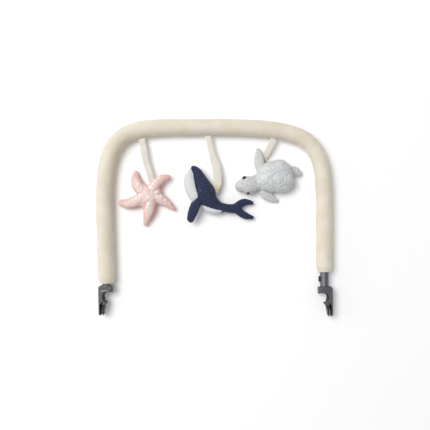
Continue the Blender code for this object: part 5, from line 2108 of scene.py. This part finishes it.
@dataclass
class Turtle:
    """A stuffed turtle: quilted shell over a flat body, head, four flippers and stitched eyes."""

    centre: Place = (0.10978, 0.07319)
    voxel: float = 0.0013
    # How far the filling may move the skin, and how deep its seam and creases are
    filling: float = 0.0008
    seam_sunk: float = 0.0004
    crease_sunk: float = 0.0005
    # The shell's rim in plan: across and up from the centre, millimetres
    rim: Rows = (
        (-27.4, 19.6), (-12.9, 30.2), (5.7, 35.9), (20.2, 35.9), (29.8, 28.1), (36.0, 20.6), (39.9, 10.7),
        (41.4, 1.8), (42.6, -8.2), (35.5, -20.3), (20.2, -26.4), (3.3, -25.4), (-15.6, -23.0),
        (-30.1, -15.3), (-32.6, -10.2),
    )
    # A place inside the rim, from which its points are seen in order
    rim_middle: Place = (6.0, 4.0)
    rim_height: float = 0.0178
    crown_height: float = 0.0425
    # Where the shell is highest: across and up from the centre, millimetres
    crown_at: Place = (0.5, 10.0)
    # The rolled edge and the underside: the share of the way to the rim, and the height, millimetres
    rolled_edge: Rows = (
        (1.006, -0.6), (1.004, -1.5), (0.99, -2.2), (0.96, -2.5), (0.85, -2.6), (0.5, -2.6), (0.03, -2.6),
    )
    # How far the rim rises towards the rear, and at which bearing most, radians
    rear_lift: float = 0.0038
    rear_bearing: float = 0.2
    # The quilting: half a hexagon's width, the pitch, its middle in millimetres, its turn, its relief
    hexagon: float = 0.0108
    pitch: float = 0.0280
    quilt_middle: Place = (9.0, -0.8)
    quilt_turn: float = 0.05
    quilt_sunk: float = 0.0008
    quilt_puff: float = 0.0005
    trunk: Limb = Limb(
        (
            (-25.2, -4.6, 10.5, 17.5), (-10.7, -2.3, 10.5, 25.2), (9.2, 0, 10.5, 25.9),
            (25.2, 2.3, 10.5, 17.5),
        ),
        0.41,
    )
    head: Limb = Limb(
        (
            (-30.5, -10.0, 15.1, 14.6), (-42.5, -11.8, 16.1, 17.6), (-52.5, -12.5, 16.3, 17.2),
            (-59.4, -13.8, 15.4, 11.8),
        ),
        0.86,
    )
    flippers: dict[str, Limb] = field(default_factory=lambda: {
        "turtle_flipper_front_left": Limb(
            (
                (-20, 15, 13, 8.8), (-24.2, 27.5, 15, 10.0), (-25.0, 41.5, 14.2, 9.4),
                (-26.0, 55.0, 12, 5.6),
            ),
            0.56,
        ),
        "turtle_flipper_front_right": Limb(
            (
                (-19.8, -20.4, 10.9, 8), (-11.5, -31, 10.1, 9.5), (-0.6, -37.4, 8.6, 7.7),
                (8.4, -41.4, 7.2, 4.7),
            ),
            0.6,
        ),
        "turtle_flipper_hind_left": Limb(
            (
                (27, 11, 8.8, 8.5), (38.5, 14.5, 8.8, 11.2), (46.5, 13.6, 8.8, 10.6),
                (53.0, 11.6, 8.4, 6.6),
            ),
            0.6,
        ),
        "turtle_flipper_hind_right": Limb(
            (
                (19.1, -12.2, 9.2, 6.9), (23.7, -18.3, 8.4, 6.9), (25.9, -22.9, 7.6, 5),
                (26.3, -25.9, 6.7, 3.1),
            ),
            0.6,
        ),
    })
    eye_radii: dict[str, float] = field(
        default_factory=lambda: {"turtle_eye_left": 0.0042, "turtle_eye_right": 0.0027}
    )
    body: str = "turtle"

    def build(self) -> None:
        """Makes the skin, the shell with its stitches and the eyes."""
        self.skin()
        self.shell()
        self.eyes()

    def skin(self) -> Piece:
        """Sews trunk, head and flippers into one skin and fills it.

        Returns:
            the dressed piece.
        """
        limbs = [self.trunk, self.head, *self.flippers.values()]
        grids = [limb.grid(self.centre) for limb in limbs]
        skin = filled_skin("turtle_skin", grids, self.voxel, 4, self.filling)
        points, facing = points_of(skin), normals_of(skin)
        crease = hollowness(skin, 12)
        seam = bump_at(points[:, 2] - nearest_level(points, limbs, self.centre), 0, 0.0007)
        moved = 0.00018 * unevenness(points, 0.008, 31) - self.seam_sunk * seam - self.crease_sunk * crease
        put_points(skin, points + facing * moved[:, None])
        # Painted shade in the creases, with half as much along the side seam
        write_field(skin, "crease", np.clip(crease + 0.5 * seam, 0, 1))
        dress(skin, MelangeCloth(), self.body, "turtle_grey", ("turtle_body", "turtle_head", *self.flippers))
        return skin

    def hex_distance(self, flat: Array) -> Array:
        """The distance from the nearest hexagon's outline: the largest of three projections, less its size.

        Args:
            flat: x and y from the quilting's middle, metres.

        Returns:
            below 0 inside a hexagon.
        """
        step = np.array([self.pitch, self.pitch * math.sqrt(3)])
        sides = np.array([[1.0, 0.5, 0.5], [0.0, math.sqrt(3) / 2, -math.sqrt(3) / 2]])
        found = np.full(len(flat), 1.0)
        for offset in (np.zeros(2), step / 2):
            near = flat - offset - np.round((flat - offset) / step) * step
            found = np.minimum(found, np.abs(near @ sides).max(axis=1))
        return found - self.hexagon

    def dome(self, flat: Array, share: Array) -> Array:
        """The shell's height: rim + rise (1 - r^2.3)^0.62, with puffed hexagons and sunk quilting lines.

        Args:
            flat: places in plan, metres.
            share: how far out each is, 1 at the rim.

        Returns:
            heights.
        """
        line = self.hex_distance(self.quilted(flat))
        rise = self.crown_height - self.rim_height
        height = self.rim_height + rise * np.maximum(1 - share**2.3, 0) ** 0.62
        sunk = self.quilt_sunk * bump_at(line, 0, 0.0011) - self.quilt_puff * smoothstep(-line, 0, 0.006)
        return height - sunk * (1 - share**6)

    def quilted(self, flat: Array) -> Array:
        """Plan places turned and centred on the quilting.

        Args:
            flat: places in plan, metres.

        Returns:
            x and y from the quilting's middle.
        """
        off = flat - np.array(self.centre) - np.array(self.quilt_middle) * MM
        c, s = math.cos(self.quilt_turn), math.sin(self.quilt_turn)
        return off @ np.array([[c, -s], [s, c]])

    def rim_curve(self, count: int) -> Array:
        """The closed rim in plan: a Catmull-Rom loop through its points, read at even bearings.

        Args:
            count: how many points.

        Returns:
            x and y of each, metres.
        """
        rim = np.array(self.rim, float)
        loop, span = np.vstack([rim[-1:], rim, rim[:2]]), 40
        dense = through(loop, span * len(loop))[span : span * (len(rim) + 1)]
        off = dense - np.array(self.rim_middle)
        angles = np.unwrap(np.arctan2(off[:, 1], off[:, 0]))
        order = np.argsort(angles)
        wanted = angles.min() + turns(count)
        found = [np.interp(wanted, angles[order], axis[order], period=2 * math.pi) for axis in dense.T]
        return np.stack(found, 1) * MM + np.array(self.centre)

    def shell(self) -> Piece:
        """The shell: rings from its middle to its rim, a rolled edge, and a shallow underside.

        Returns:
            the dressed piece.
        """
        rim = self.rim_curve(224)
        middle = np.array(self.centre) + np.array(self.crown_at) * MM
        share = np.concatenate([np.linspace(0.01, 0.9, 82), 1 - 0.1 * np.linspace(1, 0, 18)[1:] ** 1.7])
        edge, drop = np.array(self.rolled_edge).T
        both = np.concatenate([share, edge])
        flat = middle + both[:, None, None] * (rim - middle)[None]
        upper = flat[: len(share)].reshape(-1, 2)
        top = self.dome(upper, np.repeat(share, len(rim))).reshape(len(share), len(rim))
        under = np.repeat((self.rim_height + drop * MM)[:, None], len(rim), 1)
        bearing = np.arctan2(rim[:, 1] - middle[1], rim[:, 0] - middle[0])
        raised = self.rear_lift * bump_at(bearing, self.rear_bearing, 0.75)
        height = np.concatenate([top, under]) + raised[None] * both[:, None] ** 3
        piece = grid_piece("turtle_shell_cover", np.concatenate([flat, height[..., None]], 2))
        write_field(piece, "line", self.hex_distance(self.quilted(points_of(piece)[:, :2])))
        dress(piece, QuiltedCloth(), self.body, "turtle_shell_fabric", ("turtle_shell",))
        return piece

    def eyes(self) -> None:
        """Satin-stitched eyes: small domes on the head, made of close strands."""
        swing, turn = np.linspace(0.12, math.pi - 0.12, 17), turns(32)
        ring = np.stack([np.cos(turn), np.sin(turn), 0 * turn], 1)
        strands = 1 + 0.03 * np.sign(np.sin(turn * 10))
        reach = np.sin(swing)[:, None] * strands[None]
        for node, radius in self.eye_radii.items():
            low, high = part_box(node)
            middle = (np.array(low) + np.array(high)) / 2
            path = middle + np.stack([0 * swing, 0 * swing, -np.cos(swing)], 1) * radius
            eye = grid_piece(f"{node}_stitched", path[:, None] + ring[None] * (reach * radius)[..., None])
            dress(eye, BLACK_THREAD, self.body, "eye_thread", (node,))


# Studio


@dataclass
class Studio:
    """A pale table, a soft key light and a low side lamp, an even sky and the camera straight above."""

    camera_at: Place = (0.00095, 0.0043)
    camera_height: float = 1.10
    sensor_width: float = 36.0
    picture_width: float = 0.82
    key_way: Way = (-0.38, 0.25, 0.89)
    side_way: Way = (-0.93, 0.15, 0.34)
    lamp_distance: float = 5.0
    key_power: float = 195.0
    key_size: float = 2.8
    side_power: float = 30.0
    side_size: float = 2.6
    lamp_tint: tuple[float, float, float] = (1.0, 0.992, 0.98)
    sky: float = 0.34
    table: Colour = srgb(252, 252, 253)
    table_half: float = 6.0
    table_height: float = -0.0006
    # The table's own light: its share at the middle, and over which distances it grows to full, metres
    glow: float = 0.07
    fades_between: tuple[float, float] = (0.7, 2.2)
    sky_tint: Colour = (0.96, 0.98, 1.0, 1.0)

    def build(self) -> None:
        """Makes the table, the lights and the camera."""
        self.table_top()
        self.lights()
        self.camera()

    def table_top(self) -> None:
        """A large flat table, a little brighter where the camera or a reflection sees it."""
        side = np.linspace(-1, 1, 5) * self.table_half
        x, y = np.meshgrid(side, side, indexing="ij")
        grid = np.stack([x, y, np.full_like(x, self.table_height)], -1)
        top = grid_piece("table_top", grid, Ends.OPEN, around=False)
        if top.data.polygons[0].normal.z < 0:
            top.data.flip_normals()
        g = Graph("white_table")
        rays = g.add("ShaderNodeLightPath", None, None, "Is Camera Ray")
        ways = rays.socket.node.outputs
        seen = rays.most(Signal(g, ways["Is Glossy Ray"])).most(Signal(g, ways["Is Transmission Ray"]))
        away = g.add("ShaderNodeVectorMath", {"operation": "LENGTH"}, {0: g.place()}, "Value")
        glow = away.step(*self.fades_between) * (1 - self.glow) + self.glow
        light = g.mix(seen * glow, (0, 0, 0, 1), (1, 1, 1, 1))
        g.shader.inputs["Emission Strength"].default_value = 1.0
        g.finish(Base_Color=self.table, Roughness=0.8, Specular_IOR_Level=0.1, Emission_Color=light)
        top.data.materials.append(g.material)

    def lights(self) -> None:
        """A soft key from the upper left, a low soft lamp from the left and an even sky."""
        self.lamp("key", self.key_way, self.key_power, self.key_size)
        self.lamp("side", self.side_way, self.side_power, self.side_size)
        world = bpy.data.worlds.new("sky")
        world.use_nodes = True
        nodes, links = world.node_tree.nodes, world.node_tree.links
        rays = nodes.new("ShaderNodeLightPath")
        mix = nodes.new("ShaderNodeMix")
        mix.data_type = "RGBA"
        links.new(rays.outputs["Is Camera Ray"], mix.inputs[0])
        mix.inputs[6].default_value = (*(part * self.sky for part in self.sky_tint[:3]), 1.0)
        mix.inputs[7].default_value = (1.0, 1.0, 1.0, 1.0)
        links.new(mix.outputs[2], nodes["Background"].inputs["Color"])
        bpy.context.scene.world = world

    def lamp(self, name: str, way: Way, power: float, size: float) -> None:
        """A square soft lamp that shines at the origin.

        Args:
            name: the lamp's name.
            way: where it stands, as a direction from the origin.
            power: its power, watts.
            size: its side, metres.
        """
        lamp = bpy.data.lights.new(name, "AREA")
        lamp.shape, lamp.size, lamp.energy = "SQUARE", size, power
        lamp.color = self.lamp_tint
        heading = Vector(way).normalized()
        holder = bpy.data.objects.new(name, lamp)
        holder.location = heading * self.lamp_distance
        holder.rotation_euler = heading.to_track_quat("Z", "Y").to_euler()
        bpy.context.scene.collection.objects.link(holder)

    def camera(self) -> None:
        """The camera straight above, its picture as wide as the photograph's at the arch's height."""
        lens = bpy.data.cameras.new("camera")
        lens.sensor_width = self.sensor_width
        lens.lens = self.sensor_width * self.camera_height / self.picture_width
        holder = bpy.data.objects.new("camera", lens)
        holder.location = (*self.camera_at, self.camera_height + BAR_HEIGHT)
        bpy.context.scene.collection.objects.link(holder)
        bpy.context.scene.camera = holder


# Where each ribbon runs: x, y and z of its middle line, millimetres
STAR_ROUTE = (
    (-138.7, 148.0, 16), (-137.2, 140.9, 16), (-135.6, 133.7, 16), (-134.6, 126.0, 16), (-133.3, 117.4, 16),
    (-131.2, 108.4, 16), (-128.6, 99.5, 16), (-125.5, 90.1, 16), (-123.2, 81.7, 16), (-121.6, 75.9, 15.5),
    (-120.6, 71.9, 15), (-119.5, 68.0, 14),
)
WHALE_ROUTE = (
    (-11.5, 153.3, 16), (-9.5, 143, 16), (-7.5, 132.6, 16), (-4.9, 122, 16), (-1.1, 110.7, 16),
    (2.6, 99.4, 16), (4.7, 88.6, 16), (5.7, 78.2, 16), (5.6, 68.6, 16), (4.5, 60.6, 16), (2.4, 53.9, 16),
    (0.2, 47.3, 16),
)
TURTLE_ROUTE = (
    (113, 147.1, 16), (111.2, 143.9, 16), (109.3, 140.6, 16), (107.5, 137.4, 15.8), (105.7, 134, 15.4),
    (104, 130.9, 14.8), (102.4, 127.7, 14), (100.3, 123.7, 12.6), (97.8, 118.6, 10.6), (94.9, 112.4, 8.8),
    (92.2, 105.7, 7.8), (89.6, 99.1, 7.4),
)


def main() -> None:
    """Builds the studio, then the sub-assemblies in order."""
    logging.basicConfig(level=logging.INFO, format="%(message)s")
    bpy.context.scene.view_settings.view_transform = "Standard"
    Studio().build()
    PaddedArch().build()
    for side in Side:
        FrameClip(side).build()
    Starfish().build()
    Whale().build()
    Turtle().build()
    Ribbon("star", STAR_ROUTE, (12.0, 12.0, 11.6)).build()
    Ribbon("whale", WHALE_ROUTE, (12.0, 12.4, 15.0, 16.4, 13.0), crease=0.0013, tan_end=0.02).build()
    Ribbon("turtle", TURTLE_ROUTE, (12.0, 12.0, 11.0), tan_end=0.024).build()


if __name__ == "__main__":
    main()
